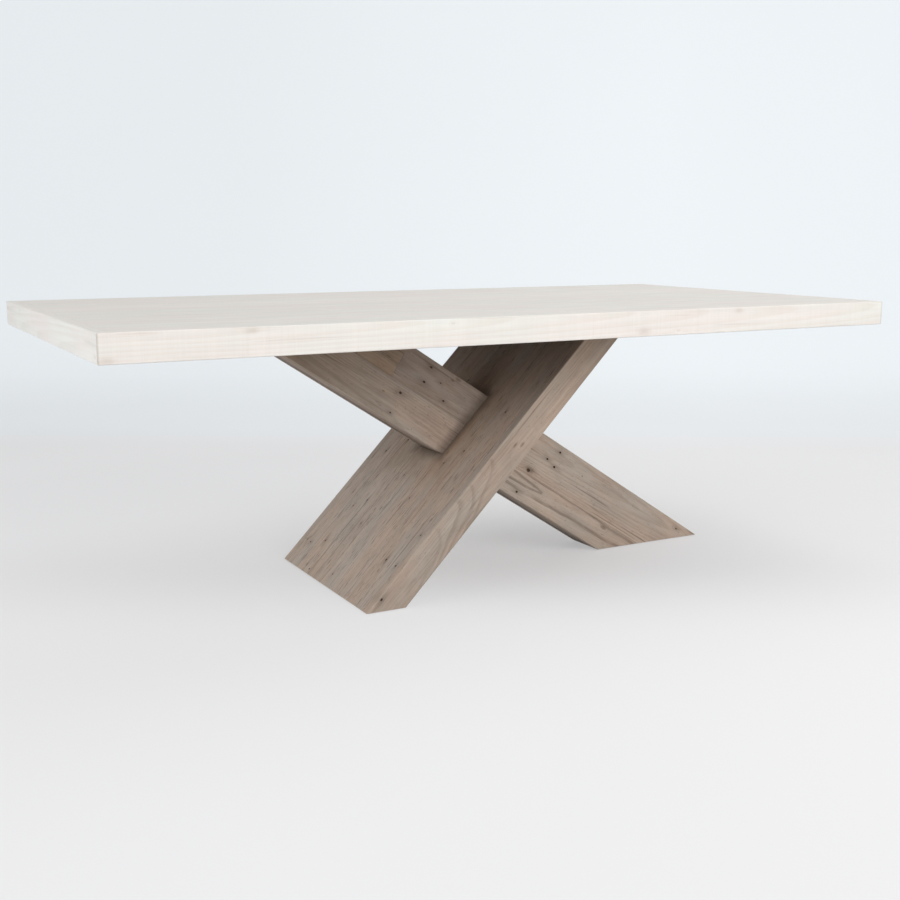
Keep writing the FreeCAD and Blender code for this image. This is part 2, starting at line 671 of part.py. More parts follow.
def ease_edges():
    half_x, half_y = measure("top_length / 2"), measure("top_width / 2")
    for name in ("front", "back"):
        ease(f"edge_board_{name}", "Chamfer", "arris", lambda m, d: near(abs(m.y), half_y) and near(d.z, 0))
        half = measure("slab_width / 2")
        ease(f"slab_edge_{name}", "Chamfer", "arris", lambda m, d: near(abs(m.y), half) and not near(d.z, 0))
    for name in ("left", "right"):
        ease(f"edge_board_{name}", "Chamfer", "arris", lambda m, d: near(abs(m.x), half_x) and near(d.z, 0))
    side = measure("beam_side")
    middle, lean = measure("beam_offset"), measure("beam_lean")
    rise, reach = measure("mid_height"), measure("beam_cut")

    def on_beam_arris(m, d):
        offset = m.x - middle + lean * (m.z - rise)
        return near(abs(m.y), side) and near(abs(offset), reach) and not near(d.z, 0)

    for name in ("front", "back"):
        for place in ("head_lower", "head_upper", "foot_upper", "foot_lower"):
            ease(f"beam_{name}_{place}", "Chamfer", "arris", on_beam_arris)
    ease("beam_front_head_strip_upper", "Chamfer", "arris", on_beam_arris)
    for label, half in (("slab_plate", "slab_plate_y"), ("beam_plate", "beam_plate_y")):
        end = measure(half)
        ease(label, "Fillet", "plate_corner", lambda m, d: near(abs(m.y), end) and not near(d.z, 0))


# The whole table

count = round(measure("plank_count"))
for index in range(count):
    top_plank(index, count - 1)
edge_boards()
corner_splines()
battens()
slab()
beam()
crossing_dowels()
head_plates()
plate_bolts()
threaded_inserts()
head_screws()
foot_pads()
doc.recompute()
ease_edges()
doc.recompute()

for item in doc.Objects:
    faults = {"Invalid", "Error"} & set(item.State)
    if faults:
        raise RuntimeError(f"{item.Label}: {faults}")
    if item.TypeId == "PartDesign::Pocket" and item.Shape.Volume >= item.BaseFeature.Shape.Volume:
        raise RuntimeError(f"{item.Label} cuts nothing")
for body in subparts:
    if body.Shape.isNull() or not body.Shape.isValid():
        raise RuntimeError(f"{body.Label} has no sound shape")

os.makedirs("parts", exist_ok=True)
for body in subparts:
    body.Shape.exportStep(f"parts/{body.Label}.step")
    print(body.Label, len(body.Shape.Solids), round(body.Shape.Volume / 1000, 1), "cm3")
print(len(subparts), "pieces")
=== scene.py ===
import json
import math
import random

import bmesh
import bpy
from mathutils import Matrix, Vector


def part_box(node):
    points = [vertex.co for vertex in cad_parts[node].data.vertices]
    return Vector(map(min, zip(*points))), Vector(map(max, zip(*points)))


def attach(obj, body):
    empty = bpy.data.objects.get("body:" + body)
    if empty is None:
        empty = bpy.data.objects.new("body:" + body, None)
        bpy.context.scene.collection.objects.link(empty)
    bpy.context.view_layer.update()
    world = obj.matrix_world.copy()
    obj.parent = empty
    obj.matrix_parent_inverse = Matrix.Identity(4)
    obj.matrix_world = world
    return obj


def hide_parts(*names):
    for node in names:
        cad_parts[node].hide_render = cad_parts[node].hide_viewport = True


# A dining table: a whitewashed plank top with mitred edge boards on two crossed legs, each boxed in
# reclaimed pine. Every board is dressed from its node: eased arrises, old nail holes, nicks and a grain
# of its own. Lengths are in metres.

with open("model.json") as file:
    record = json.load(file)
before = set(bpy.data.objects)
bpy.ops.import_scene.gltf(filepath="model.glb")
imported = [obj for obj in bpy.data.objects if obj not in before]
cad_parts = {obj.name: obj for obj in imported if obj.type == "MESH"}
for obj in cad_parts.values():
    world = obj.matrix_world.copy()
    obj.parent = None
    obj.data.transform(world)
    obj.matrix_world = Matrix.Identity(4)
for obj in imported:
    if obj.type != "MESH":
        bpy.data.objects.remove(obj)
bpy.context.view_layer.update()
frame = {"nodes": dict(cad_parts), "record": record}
NODE_SLOTS = {part["node"]: part["material_slot"] for part in frame["record"]["subparts"]}

# Shaping of the boards
MERGE_DISTANCE = 1e-5
FLAT_ANGLE = math.radians(1)
SHARP_ANGLE = math.radians(30)
SHORT_EDGE = 0.012
BEVEL_STEPS = 2
EASING = {"top_wood": 0.0009, "leg_wood": 0.0013, "frame_wood": 0.0008}
NICK_STEP = 0.12
NICK_SPREAD = (0.3, 0.8)
NICK_SIZES = (0.0010, 0.0022)
NICK_LENGTH = 5
FACE_DEPTH = 0.0003

# Old nail holes
HOLE_RIM = 0.0031
HOLE_BOTTOM = 0.0018
HOLE_STRETCH = 1.35
HOLE_DEPTH = 0.005
HOLE_PROUD = 0.001
HOLE_SIDES = 10
SLAB_HOLE_SIZE = 0.85
FAR_HOLES = 4
FAR_HOLE_MARGIN = 0.012
FAR_HOLE_SPREAD = (0.25, 0.75)
FAR_HOLE_SIZES = (0.6, 1.2)

# Stains, wear, dirt and the painted shade of the crossing: reaches in metres, the bloom's in reaches of the
# painted shade
STAIN_REACH = 0.0080
WEAR_DEPTH = 0.0001
CROSSING_SHADE_REACH = 0.040
BLOOM_REACH = 3.6
BLOOM_STRENGTH = 0.9
GRIME_REACH = 0.007
MITRE_GRIME = (0.0012, 0.0050)

# Nail holes of the slab's upper face: along from its foot, across from its middle, size
SLAB_HOLES = [
    (0.113, 0.153, 1.0), (0.090, 0.250, 0.8), (0.087, 0.223, 0.9), (0.433, 0.217, 1.0),
    (0.273, 0.111, 0.8), (0.240, 0.157, 0.8), (0.150, -0.193, 1.1), (0.148, -0.252, 1.0),
    (0.660, -0.200, 1.1), (0.460, -0.108, 0.9), (0.513, -0.155, 1.0), (0.730, 0.090, 1.0),
    (0.490, 0.150, 1.0), (0.020, 0.120, 0.9), (0.043, -0.010, 0.8), (0.250, -0.255, 0.8),
    (0.560, 0.245, 0.9), (0.330, -0.080, 0.7), (0.385, 0.030, 0.7), (0.205, 0.050, 0.6),
]

# Nail holes of the beam's front face: along from its head, across level from the head's left corner, size
BEAM_HOLES = [
    (0.200, 0.342, 1.1), (0.271, 0.260, 1.2), (0.317, 0.150, 1.2), (0.412, 0.039, 0.7),
    (0.375, 0.232, 0.9), (0.283, 0.301, 0.6), (0.705, 0.342, 1.1), (0.733, 0.274, 1.0),
    (0.782, 0.257, 1.1), (0.783, 0.167, 1.7), (0.893, 0.036, 1.1), (1.229, 0.343, 0.8),
    (0.850, 0.300, 0.5),
]

# Nail holes of the slab's front edge: along from its foot, in from the upper face, size
SLAB_EDGE_HOLES = [(0.056, 0.0075, 1.1)]

# Small marks of the top's front edge: from the middle, height, size
FRONT_MARKS = [(-1.062, 0.703, 0.008), (-0.763, 0.752, 0.006), (0.250, 0.709, 0.008), (0.556, 0.751, 0.006)]

# How light each board that shows is, over or under the common tone, with the top's upper face and the strip
# of an edge board that lies in the slab's upper face. Other boards are spread about the common tone
# The top's upper face is painted darker than the faces of the edge boards that look out: painted shade on
# the faces that look up
FACE_TONE = -0.066
STRIP_TONE = 0.22
TONES = {
    "beam_front_head_strip_upper": -0.10,
    "beam_front_head_strip_middle": -0.07,
    "beam_front_head_lower": 0.02,
    "beam_front_head_upper": -0.04,
    "beam_front_foot_upper": 0.16,
    "beam_front_foot_lower": 0.17,
    "slab_edge_front": 0.03,
    "beam_under_board": -0.28,
    "slab_upper_board_1": 0.24,
    "slab_upper_board_2": 0.27,
    "slab_upper_board_3_foot": 0.22,
    "slab_upper_board_3_head": 0.14,
    "slab_upper_board_4": 0.26,
    "slab_upper_board_5": 0.22,
}
TONE_SPREAD = 0.06
PLANK_SPREAD = 0.015

# How brown each board that shows is, and the ranges of the others
STRIP_HUE = 0.05
SLAB_HUES = (0.0, 0.10)
LEG_HUES = (0.10, 0.30)
HUES = {
    "beam_front_head_strip_upper": 0.70,
    "beam_front_head_strip_middle": 0.70,
    "beam_front_head_upper": 0.0,
    "beam_front_head_lower": 0.25,
}

# Boards that change along (0) or across (1): tone and hue added from their middle to their end
FADES = {
    # The beam's head boards are painted darker towards the head, as shade under the top; the lower one also
    # grows browner there
    "beam_front_head_lower": (0, 0.17, -0.55),
    "beam_front_head_upper": (0, 0.12, 0.0),
    "slab_edge_front": (0, -0.03, 0.12),
    # The left edge board is painted darker towards the back: painted shade
    "edge_board_left": (0, -0.04, 0.0),
    # The beam's underside is painted lighter near its front arris and darker towards the back: painted
    # shade
    "beam_under_board": (1, -0.42, 0.0),
}

# The slab's boards are painted darker towards the head, as shade under the top: how much, from one height
# to another
HEAD_SHADE = {"slab_upper_board": (0.42, 0.38, 0.64)}
NO_HEAD_SHADE = (0.0, 0.0, 1.0)


def paint(red, green, blue):
    """A screen colour, 0 to 255, as the linear colour that a shader takes."""
    parts = [channel / 255 for channel in (red, green, blue)]
    linear = [c / 12.92 if c <= 0.04045 else ((c + 0.055) / 1.055) ** 2.4 for c in parts]
    return (*linear, 1.0)


# Wiring of shader nodes


def feed(tree, item, feeds):
    """Feeds a node's inputs from sockets or plain values."""
    for socket, value in dict(feeds).items():
        if isinstance(value, bpy.types.NodeSocket):
            tree.links.new(value, item.inputs[socket])
        else:
            item.inputs[socket].default_value = value


def add(tree, kind, feeds=(), **settings):
    """Adds one shader node, sets its fields and feeds its inputs."""
    item = tree.nodes.new("ShaderNode" + kind)
    for field, value in settings.items():
        setattr(item, field, value)
    feed(tree, item, feeds)
    return item


def calc(tree, operation, *values):
    return add(tree, "Math", enumerate(values), operation=operation).outputs[0]


def chain(tree, operation, values):
    result = values[0]
    for value in values[1:]:
        result = calc(tree, operation, result, value)
    return result


def total(tree, *values):
    return chain(tree, "ADD", values)


def times(tree, *values):
    return chain(tree, "MULTIPLY", values)


def minus(tree, first, second):
    return calc(tree, "SUBTRACT", first, second)


def rest_of(tree, share):
    """What a share leaves of 1."""
    return minus(tree, 1.0, share)


def squares(tree, first, second):
    """The sum of two squares."""
    return total(tree, times(tree, first, first), times(tree, second, second))


def centred(tree, value, gain):
    """A noise value about its middle, times a gain."""
    return times(tree, minus(tree, value, 0.5), gain)


def apart(tree, spot, other):
    return add(tree, "VectorMath", {0: spot, 1: other}, operation="SUBTRACT").outputs[0]


def reach_along(tree, place, way):
    """How far a place lies along a way."""
    return add(tree, "VectorMath", {0: place, 1: tuple(way)}, operation="DOT_PRODUCT").outputs["Value"]


def noise(tree, vector, scale, detail=2.0, roughness=0.5):
    """Noise at a scale that is even, or has its own value along, across and out of a board."""
    scale = scale if isinstance(scale, tuple) else (scale,) * 3
    spot = add(tree, "VectorMath", {0: vector, 1: scale}, operation="MULTIPLY").outputs[0]
    feeds = {"Vector": spot, "Scale": 1.0, "Detail": detail, "Roughness": roughness}
    return add(tree, "TexNoise", feeds).outputs[0]


def ease(tree, value, low, high):
    """0 below low, 1 above high, smooth between."""
    feeds = {"Value": value, "From Min": low, "From Max": high}
    return add(tree, "MapRange", feeds, interpolation_type="SMOOTHSTEP").outputs[0]


def between(tree, share, low, high):
    """The value at a share of the way from low to high."""
    return add(tree, "MapRange", {"Value": share, "To Min": low, "To Max": high}).outputs[0]


def blend(tree, share, first, second, how="MIX"):
    item = add(tree, "Mix", {0: share, 6: first, 7: second}, data_type="RGBA", blend_type=how)
    return item.outputs[2]


def attribute(tree, name):
    return add(tree, "Attribute", attribute_name=name).outputs["Vector"]


def parts_of(tree, vector):
    return add(tree, "SeparateXYZ", {0: vector}).outputs


def object_place(tree):
    return add(tree, "TexCoord").outputs["Object"]


def seen_share(tree):
    """1 for rays that show a thing: straight, mirrored or through glass."""
    path = add(tree, "LightPath").outputs
    seen = [path[ray] for ray in ("Is Camera Ray", "Is Glossy Ray", "Is Transmission Ray")]
    return chain(tree, "MAXIMUM", seen)


def new_group(name, inputs):
    """An empty node group and its inputs; each input has a socket kind and a starting value."""
    tree = bpy.data.node_groups.new(name, "ShaderNodeTree")
    for label, (kind, value) in inputs.items():
        socket = tree.interface.new_socket(label, in_out="INPUT", socket_type="NodeSocket" + kind)
        socket.default_value = value
    return tree, tree.nodes.new("NodeGroupInput").outputs


def close_group(tree, masks):
    """Gives a node group its outputs."""
    for label in masks:
        tree.interface.new_socket(label, in_out="OUTPUT", socket_type="NodeSocketFloat")
    feed(tree, tree.nodes.new("NodeGroupOutput"), masks)
    return tree


def place_group(tree, group, feeds):
    return add(tree, "Group", feeds, node_tree=group).outputs


# Making pieces


def cad_copy(node):
    """A node's shape as a bmesh, its corners merged and its flat triangles joined."""
    bm = bmesh.new()
    bm.from_mesh(frame["nodes"][node].data)
    bmesh.ops.remove_doubles(bm, verts=bm.verts, dist=MERGE_DISTANCE)
    bmesh.ops.dissolve_limit(bm, angle_limit=FLAT_ANGLE, verts=bm.verts, edges=bm.edges)
    for face in bm.faces:
        face.smooth = False
    return bm


def soften(bm, edges, width):
    bmesh.ops.bevel(
        bm,
        geom=edges,
        offset=width,
        affect="EDGES",
        segments=BEVEL_STEPS,
        profile=0.5,
        material=-1,
        clamp_overlap=True,
    )


def ease_arrises(bm, width):
    """Rounds the long outer edges."""
    edges = [
        edge
        for edge in bm.edges
        if len(edge.link_faces) == 2
        and edge.is_convex
        and edge.calc_length() > SHORT_EDGE
        and edge.calc_face_angle() > SHARP_ANGLE
    ]
    soften(bm, edges, width)
    bmesh.ops.triangulate(bm, faces=[face for face in bm.faces if len(face.verts) > 4])


def edges_between(bm, verts):
    return [edge for edge in bm.edges if edge.verts[0] in verts and edge.verts[1] in verts]


def new_piece(name, bm, *materials):
    mesh = bpy.data.meshes.new(name)
    bm.to_mesh(mesh)
    bm.free()
    for material in materials:
        mesh.materials.append(material)
    piece = bpy.data.objects.new(name, mesh)
    bpy.context.scene.collection.objects.link(piece)
    return piece


def finish_piece(piece, slot, *nodes):
    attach(piece, "root")
    if nodes:
        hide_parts(*nodes)
    return piece


def extent(bm, axis):
    reach = [vert.co.dot(axis) for vert in bm.verts]
    return min(reach), max(reach)


def board_axes(bm):
    """The ways along, across and out of a board: its longest edge, then the wider of the other two."""
    longest = max(bm.edges, key=lambda edge: edge.calc_length())
    along = (longest.verts[1].co - longest.verts[0].co).normalized()
    if along.x + along.y < 0:
        along.negate()
    side = Vector((0, 1, 0)) if abs(along.y) < 0.5 else Vector((1, 0, 0))
    other = along.cross(side).normalized()
    widths = [extent(bm, axis)[1] - extent(bm, axis)[0] for axis in (side, other)]
    across, out_of = (side, other) if widths[0] > widths[1] else (other, side)
    middle = Vector()
    for axis in (along, across, out_of):
        middle += axis * (sum(extent(bm, axis)) / 2)
    return along, across, out_of, middle


def in_grain(place, axes):
    """How far a place lies from a board's middle, along and across the board."""
    along, across, _, middle = axes
    return (place - middle).dot(along), (place - middle).dot(across)


def taper(bm, spot, low_radius, high_radius, height, sides):
    """A bar with many sides about a spot; gives its vertices back."""
    radii = {"radius1": low_radius, "radius2": high_radius}
    made = bmesh.ops.create_cone(bm, cap_ends=True, segments=sides, depth=height, matrix=spot, **radii)
    return made["verts"]


def cut_out(piece, tools, finish):
    """Cuts holes and nicks out of a piece: holes are stained inside, nicks show the piece's own finish."""
    cutter = new_piece("cutter", tools, NAIL_HOLE, finish)
    cut = piece.modifiers.new("cut", "BOOLEAN")
    cut.operation = "DIFFERENCE"
    cut.solver = "EXACT"
    cut.material_mode = "TRANSFER"
    cut.object = cutter
    bpy.context.view_layer.update()
    shaped = bpy.data.meshes.new_from_object(piece.evaluated_get(bpy.context.evaluated_depsgraph_get()))
    if len(shaped.vertices) < len(piece.data.vertices):
        raise RuntimeError(piece.name + " lost its shape in cutting")
    piece.modifiers.clear()
    piece.data = shaped
    bpy.data.objects.remove(cutter)


def hole_tool(bm, place, out_of, along, size):
    """A tapered nail hole that starts just proud of the face, a little longer along the grain."""
    turn = Matrix((along, out_of.cross(along), out_of)).transposed().to_4x4()
    lift = Matrix.Translation(place + out_of * (HOLE_PROUD - HOLE_DEPTH / 2))
    spot = lift @ turn @ Matrix.Diagonal((HOLE_STRETCH, 1, 1, 1))
    taper(bm, spot, HOLE_BOTTOM * size, HOLE_RIM * size, HOLE_DEPTH, HOLE_SIDES)


def nick_tool(bm, place, along, size):
    """A shallow scoop along an arris."""
    turn = along.to_track_quat("X", "Z").to_matrix().to_4x4()
    scale = Matrix.Diagonal((size * NICK_LENGTH, size, size, 1))
    spot = Matrix.Translation(place) @ turn @ scale
    made = bmesh.ops.create_icosphere(bm, subdivisions=2, radius=1.0, matrix=spot)
    for vert in made["verts"]:
        for face in vert.link_faces:
            face.material_index = 1


def mark_board(piece, axes, facts):
    """Gives every point of a board its place in the grain, and the board the facts of its own."""
    along, across, out_of, middle = axes
    mesh = piece.data
    for name in ("grain", *facts):
        mesh.attributes.new(name, "FLOAT_VECTOR", "POINT")
    spots = []
    for vert in mesh.vertices:
        offset = vert.co - middle
        spots += (offset.dot(along), offset.dot(across), offset.dot(out_of))
    mesh.attributes["grain"].data.foreach_set("vector", spots)
    half = facts["half"]
    worn = mesh.attributes.new("wear", "FLOAT", "POINT")
    for vert in mesh.vertices:
        spot = spots[vert.index * 3:vert.index * 3 + 3]
        inside = all(abs(reach) < limit - WEAR_DEPTH for reach, limit in zip(spot, half))
        worn.data[vert.index].value = 1.0 if inside else 0.0
    for name, value in facts.items():
        mesh.attributes[name].data.foreach_set("vector", list(value) * len(mesh.vertices))


def fade_board(piece, way, more_tone, more_hue):
    """Lets a board's tone and hue change evenly along or across it."""
    grain = piece.data.attributes["grain"].data
    reach = max(abs(spot.vector[way]) for spot in grain)
    stock = piece.data.attributes["stock"].data
    for spot, own in zip(grain, stock):
        share = spot.vector[way] / reach
        seed, tone, hue = own.vector
        own.vector = (seed, tone + more_tone * share, hue + more_hue * share)


def tone_face(piece, way, tone, hue, head_shade):
    """Gives the face of an edge board that looks one way the look of the boards beside it, with their
    painted shade towards the head, and no flame.
    """
    stock, head_shaded, figure = (piece.data.attributes[name].data for name in ("stock", "head_shade", "figure"))
    level = max(vert.co.dot(way) for vert in piece.data.vertices) - FACE_DEPTH
    for vert in piece.data.vertices:
        if vert.co.dot(way) > level:
            seed, _, _ = stock[vert.index].vector
            stock[vert.index].vector = (seed, tone, hue)
            head_shaded[vert.index].vector = head_shade
            figure[vert.index].vector.z = 0.0


# Places on the legs, found from their boards


def slab_places():
    """The slab's foot corner on its upper face, its direction and the way out of that face."""
    along, _, _, _ = board_axes(cad_copy("slab_edge_front"))
    low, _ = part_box("slab_upper_board_1")
    out_of = Vector((-along.z, 0, along.x))
    return Vector((low.x, 0, low.z)) - along * (low.z / along.z), along, out_of


def beam_places():
    """The head's left corner on the beam's front face, and the beam's direction."""
    along, _, _, _ = board_axes(cad_copy("beam_under_board"))
    low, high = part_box("beam_front_head_lower")
    return Vector((low.x, low.y, high.z)), along


def across_of(node, way):
    return extent(cad_copy(node), way)


SLAB_CORNER, SLAB_ALONG, SLAB_OUT = slab_places()
BEAM_CORNER, BEAM_ALONG = beam_places()
SLAB_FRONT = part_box("slab_edge_front")[0].y
TO_FRONT = Vector((0, -1, 0))
BEAM_UP = Vector((-BEAM_ALONG.z, 0, BEAM_ALONG.x))

# Where the legs cross: a way, and from where to where the slab or the beam reaches along it
CROSSING = [
    (SLAB_OUT, across_of("slab_under_board_1", SLAB_OUT)[0], across_of("slab_upper_board_1", SLAB_OUT)[1]),
    (BEAM_UP, across_of("beam_under_board", BEAM_UP)[0], across_of("beam_upper_board", BEAM_UP)[1]),
    (TO_FRONT, -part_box("beam_back_foot_lower")[1].y, -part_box("beam_front_foot_lower")[0].y),
]

# Boards on the sides that don't show, and the way out of each
FAR_SIDES = {
    "slab_under_board": -SLAB_OUT,
    "slab_edge_back": -TO_FRONT,
    "beam_back": -TO_FRONT,
    "beam_upper_board": BEAM_UP,
    "beam_under_board": -BEAM_UP,
}

# Faces of edge boards that match the boards beside them: the way they look, tone, hue and painted shade
# towards the head
TONED_FACES = {
    # The upper faces of the edge boards take the painted shade of the top's upper face
    "edge_board": (Vector((0, 0, 1)), FACE_TONE, 0.0, NO_HEAD_SHADE),
    "slab_edge": (SLAB_OUT, STRIP_TONE, STRIP_HUE, HEAD_SHADE["slab_upper_board"]),
}


def on_slab_face(along, across):
    return SLAB_CORNER + SLAB_ALONG * along + Vector((0, across, 0))


def on_slab_front(along, inward):
    spot = SLAB_CORNER + SLAB_ALONG * along - SLAB_OUT * inward
    return Vector((spot.x, SLAB_FRONT, spot.z))


def on_beam_front(along, level):
    return BEAM_CORNER + BEAM_ALONG * along + Vector((level, 0, 0))


# Knots that show, each with its size
KNOTS = {
    "beam_front_foot_lower": [(on_beam_front(1.158, 0.122), 0.007)],
    "beam_front_foot_upper": [(on_beam_front(0.780, 0.176), 0.010)],
    "slab_edge_front": [(on_slab_front(0.590, 0.034), 0.005), (on_slab_front(0.605, 0.050), 0.005)],
}

# Flames in the grain that show: the tip, how sharp it is, the run and how strongly it shows. A run is the
# step from tongue to tongue, under 0 if they fade outward, then where the first starts and the last ends
FLAMES = {
    "beam_front_foot_lower": (on_beam_front(0.930, 0.104), 900.0, (0.60, -0.10, 0.75), 1.0),
    "slab_edge_front": (on_slab_front(0.510, 0.003), 35.0, (-0.068, -0.22, 0.05), 0.5),
}
NO_RUN = (1.0, 0.0, 1.0)


def photo_holes():
    """Every nail hole that shows, as its place, the way out of its face and its size."""
    holes = [(on_slab_face(s, y), SLAB_OUT, size * SLAB_HOLE_SIZE) for s, y, size in SLAB_HOLES]
    holes += [(on_beam_front(s, x), TO_FRONT, size) for s, x, size in BEAM_HOLES]
    holes += [(on_slab_front(s, d), TO_FRONT, size) for s, d, size in SLAB_EDGE_HOLES]
    return holes


# Effects of wood that several finishes share

# What a finish is told of a mark in the grain: along, across and size. No board reaches nowhere
NOWHERE = (9.0, 9.0, 0.001)
NAIL_NAMES = ("nail_1", "nail_2", "nail_3", "nail_4", "nail_5")
GRAIN_INPUTS = {"Grain": ("Vector", (0, 0, 0)), "Seed": ("Float", 0.0)}
SEED_STEP = (13.1, 7.7, 3.3)
SEED_SPREAD = (0, 10)
ALONG_SQUEEZE = 0.42
KNOT_BEND = 2.2
LATE_RISE = (0.15, 0.86)
LATE_FALL = (0.88, 1.0)
FLAME_INNER = (-0.012, -0.0010)
FLAME_OUTER = (0.0010, 0.0034)
FLAME_SWAY = 0.014
FLAME_PACE = 0.09
FLAME_END = 0.04


def shifted(tree, ends):
    """The grain vector moved by the board's seed, so that no two boards look alike."""
    feeds = {0: ends["Seed"], 1: SEED_STEP, 2: ends["Grain"]}
    return add(tree, "VectorMath", feeds, operation="MULTIPLY_ADD").outputs[0]


def nearness(tree, grain, mark):
    """1 at the middle of a knot or stain, falling off round it, longer along the grain."""
    along, across, _ = parts_of(tree, apart(tree, grain, mark))
    size = parts_of(tree, mark)[2]
    along = calc(tree, "DIVIDE", times(tree, along, ALONG_SQUEEZE), size)
    across = calc(tree, "DIVIDE", across, size)
    return calc(tree, "EXPONENT", times(tree, squares(tree, along, across), -1.0))


def growth_rings_group():
    """Rings round a pith behind the board, bent by knots: late wood and knots as masks."""
    inputs = {
        **GRAIN_INPUTS,
        "Knot A": ("Vector", NOWHERE),
        "Knot B": ("Vector", NOWHERE),
        "Pith": ("Vector", (0, 0.045, 0.03)),
        "Ring Width": ("Float", 0.006),
        "Waver": ("Float", 0.012),
    }
    tree, ends = new_group("growth_rings", inputs)
    drift = centred(tree, noise(tree, shifted(tree, ends), (1.6, 8, 8), 2.0, 0.55), ends["Waver"])
    near_a, near_b = (nearness(tree, ends["Grain"], ends[knot]) for knot in ("Knot A", "Knot B"))
    near = calc(tree, "MAXIMUM", near_a, near_b)
    along, across, out_of = parts_of(tree, ends["Grain"])
    pith_across, pith_depth, slope = parts_of(tree, ends["Pith"])
    across = minus(tree, total(tree, across, drift), pith_across)
    depth = total(tree, out_of, times(tree, along, slope), pith_depth, drift)
    rings = calc(tree, "DIVIDE", calc(tree, "SQRT", squares(tree, across, depth)), ends["Ring Width"])
    saw = calc(tree, "FRACT", total(tree, rings, times(tree, near, KNOT_BEND)))
    rise, fall = ease(tree, saw, *LATE_RISE), ease(tree, saw, *LATE_FALL)
    return close_group(tree, {"Late Wood": times(tree, rise, rest_of(tree, fall)), "Knot": near})


def fibres_group():
    """Fine fibres, broader streaks, thin dark checks and short dashes, all along the grain."""
    tree, ends = new_group("fibres", GRAIN_INPUTS)
    moved = shifted(tree, ends)
    masks = {
        "Fine": noise(tree, moved, (7, 420, 420), 3.0, 0.6),
        "Streak": noise(tree, moved, (2.2, 62, 62), 4.0, 0.62),
        "Check": ease(tree, noise(tree, moved, (2.8, 115, 115), 1.0), 0.66, 0.75),
        "Dash": ease(tree, noise(tree, moved, (24, 330, 330), 1.0), 0.60, 0.72),
    }
    return close_group(tree, masks)


def weathering_group():
    """Broad cloudy patches and small specks."""
    tree, ends = new_group("weathering", GRAIN_INPUTS)
    moved = shifted(tree, ends)
    masks = {
        "Patch": ease(tree, noise(tree, moved, (3.2, 11, 11), 3.0, 0.55), 0.34, 0.66),
        "Cloud": noise(tree, moved, (9, 26, 26), 3.0, 0.6),
        "Speck": ease(tree, noise(tree, moved, (90, 260, 260), 1.0), 0.66, 0.76),
    }
    return close_group(tree, masks)


def flame_group():
    """A few dark tongues, one inside the other, where the saw ran out through the rings."""
    inputs = {**GRAIN_INPUTS, "Tip": ("Vector", (9, 9, 1)), "Run": ("Vector", NO_RUN)}
    tree, ends = new_group("flame", inputs)
    moved = shifted(tree, ends)
    along, across, _ = parts_of(tree, apart(tree, ends["Grain"], ends["Tip"]))
    sharp = parts_of(tree, ends["Tip"])[2]
    step, low, high = parts_of(tree, ends["Run"])
    across = total(tree, across, centred(tree, noise(tree, moved, (9, 4, 4)), FLAME_SWAY))
    pace = centred(tree, noise(tree, moved, (12, 6, 6), 1.0), FLAME_PACE)
    bend = times(tree, across, sharp)
    level = total(tree, along, times(tree, bend, across), pace)
    slope = times(tree, bend, 2.0)
    steep = calc(tree, "SQRT", calc(tree, "MULTIPLY_ADD", slope, slope, 1.0))
    turn = calc(tree, "FRACT", total(tree, calc(tree, "DIVIDE", level, step), 0.5))
    gap = calc(tree, "DIVIDE", centred(tree, turn, calc(tree, "ABSOLUTE", step)), steep)
    inner = ease(tree, gap, *FLAME_INNER)
    outer = rest_of(tree, ease(tree, gap, *FLAME_OUTER))
    start = ease(tree, level, low, total(tree, low, FLAME_END))
    end = ease(tree, level, high, minus(tree, high, FLAME_END))
    faint = ease(tree, noise(tree, moved, (14, 30, 30), 2.0, 0.6), 0.12, 0.50)
    return close_group(tree, {"Line": times(tree, inner, outer, start, end, faint)})


def crossing_shade_group():
    """Painted shade where the beam meets the slab, on both legs, and a wider, warm darkening round it, the
    bloom.
    """
    tree, ends = new_group("crossing_shade", {"Place": ("Vector", (0, 0, 0))})
    rooms = []
    for way, low, high in CROSSING:
        reach = reach_along(tree, ends["Place"], way)
        aside = calc(tree, "ABSOLUTE", minus(tree, reach, (low + high) / 2))
        rooms.append(calc(tree, "MAXIMUM", minus(tree, aside, (high - low) / 2), 0.0))
    off_beam = calc(tree, "MAXIMUM", rooms[1], rooms[2])
    uneven = noise(tree, ends["Place"], 30, 2.0, 0.6)
    reach = times(tree, total(tree, uneven, 0.5), CROSSING_SHADE_REACH)
    gap = calc(tree, "DIVIDE", total(tree, rooms[0], off_beam), reach)
    masks = {
        "Painted_Shade": rest_of(tree, ease(tree, gap, 0.0, 1.0)),
        "Bloom": rest_of(tree, ease(tree, gap, 0.8, BLOOM_REACH)),
    }
    return close_group(tree, masks)


def iron_stain_group():
    """The dark bloom that one nail leaves, drawn out along the grain."""
    tree, ends = new_group("iron_stain", {"Grain": ("Vector", (0, 0, 0)), "Nail": ("Vector", NOWHERE)})
    return close_group(tree, {"Stain": nearness(tree, ends["Grain"], ends["Nail"])})


def seam_grime_group():
    """Grime held along the long seams of a board's broad face."""
    tree, ends = new_group("seam_grime", {**GRAIN_INPUTS, "Half": ("Vector", (1, 1, 1))})
    across, half = (parts_of(tree, ends[vector])[1] for vector in ("Grain", "Half"))
    room = minus(tree, half, calc(tree, "ABSOLUTE", across))
    reach = times(tree, noise(tree, shifted(tree, ends), (14, 3, 3), 2.0, 0.6), GRIME_REACH)
    grime = rest_of(tree, ease(tree, calc(tree, "DIVIDE", room, reach), 0.25, 1.0))
    return close_group(tree, {"Grime": times(tree, grime, ease(tree, room, 0.0002, 0.0014))})


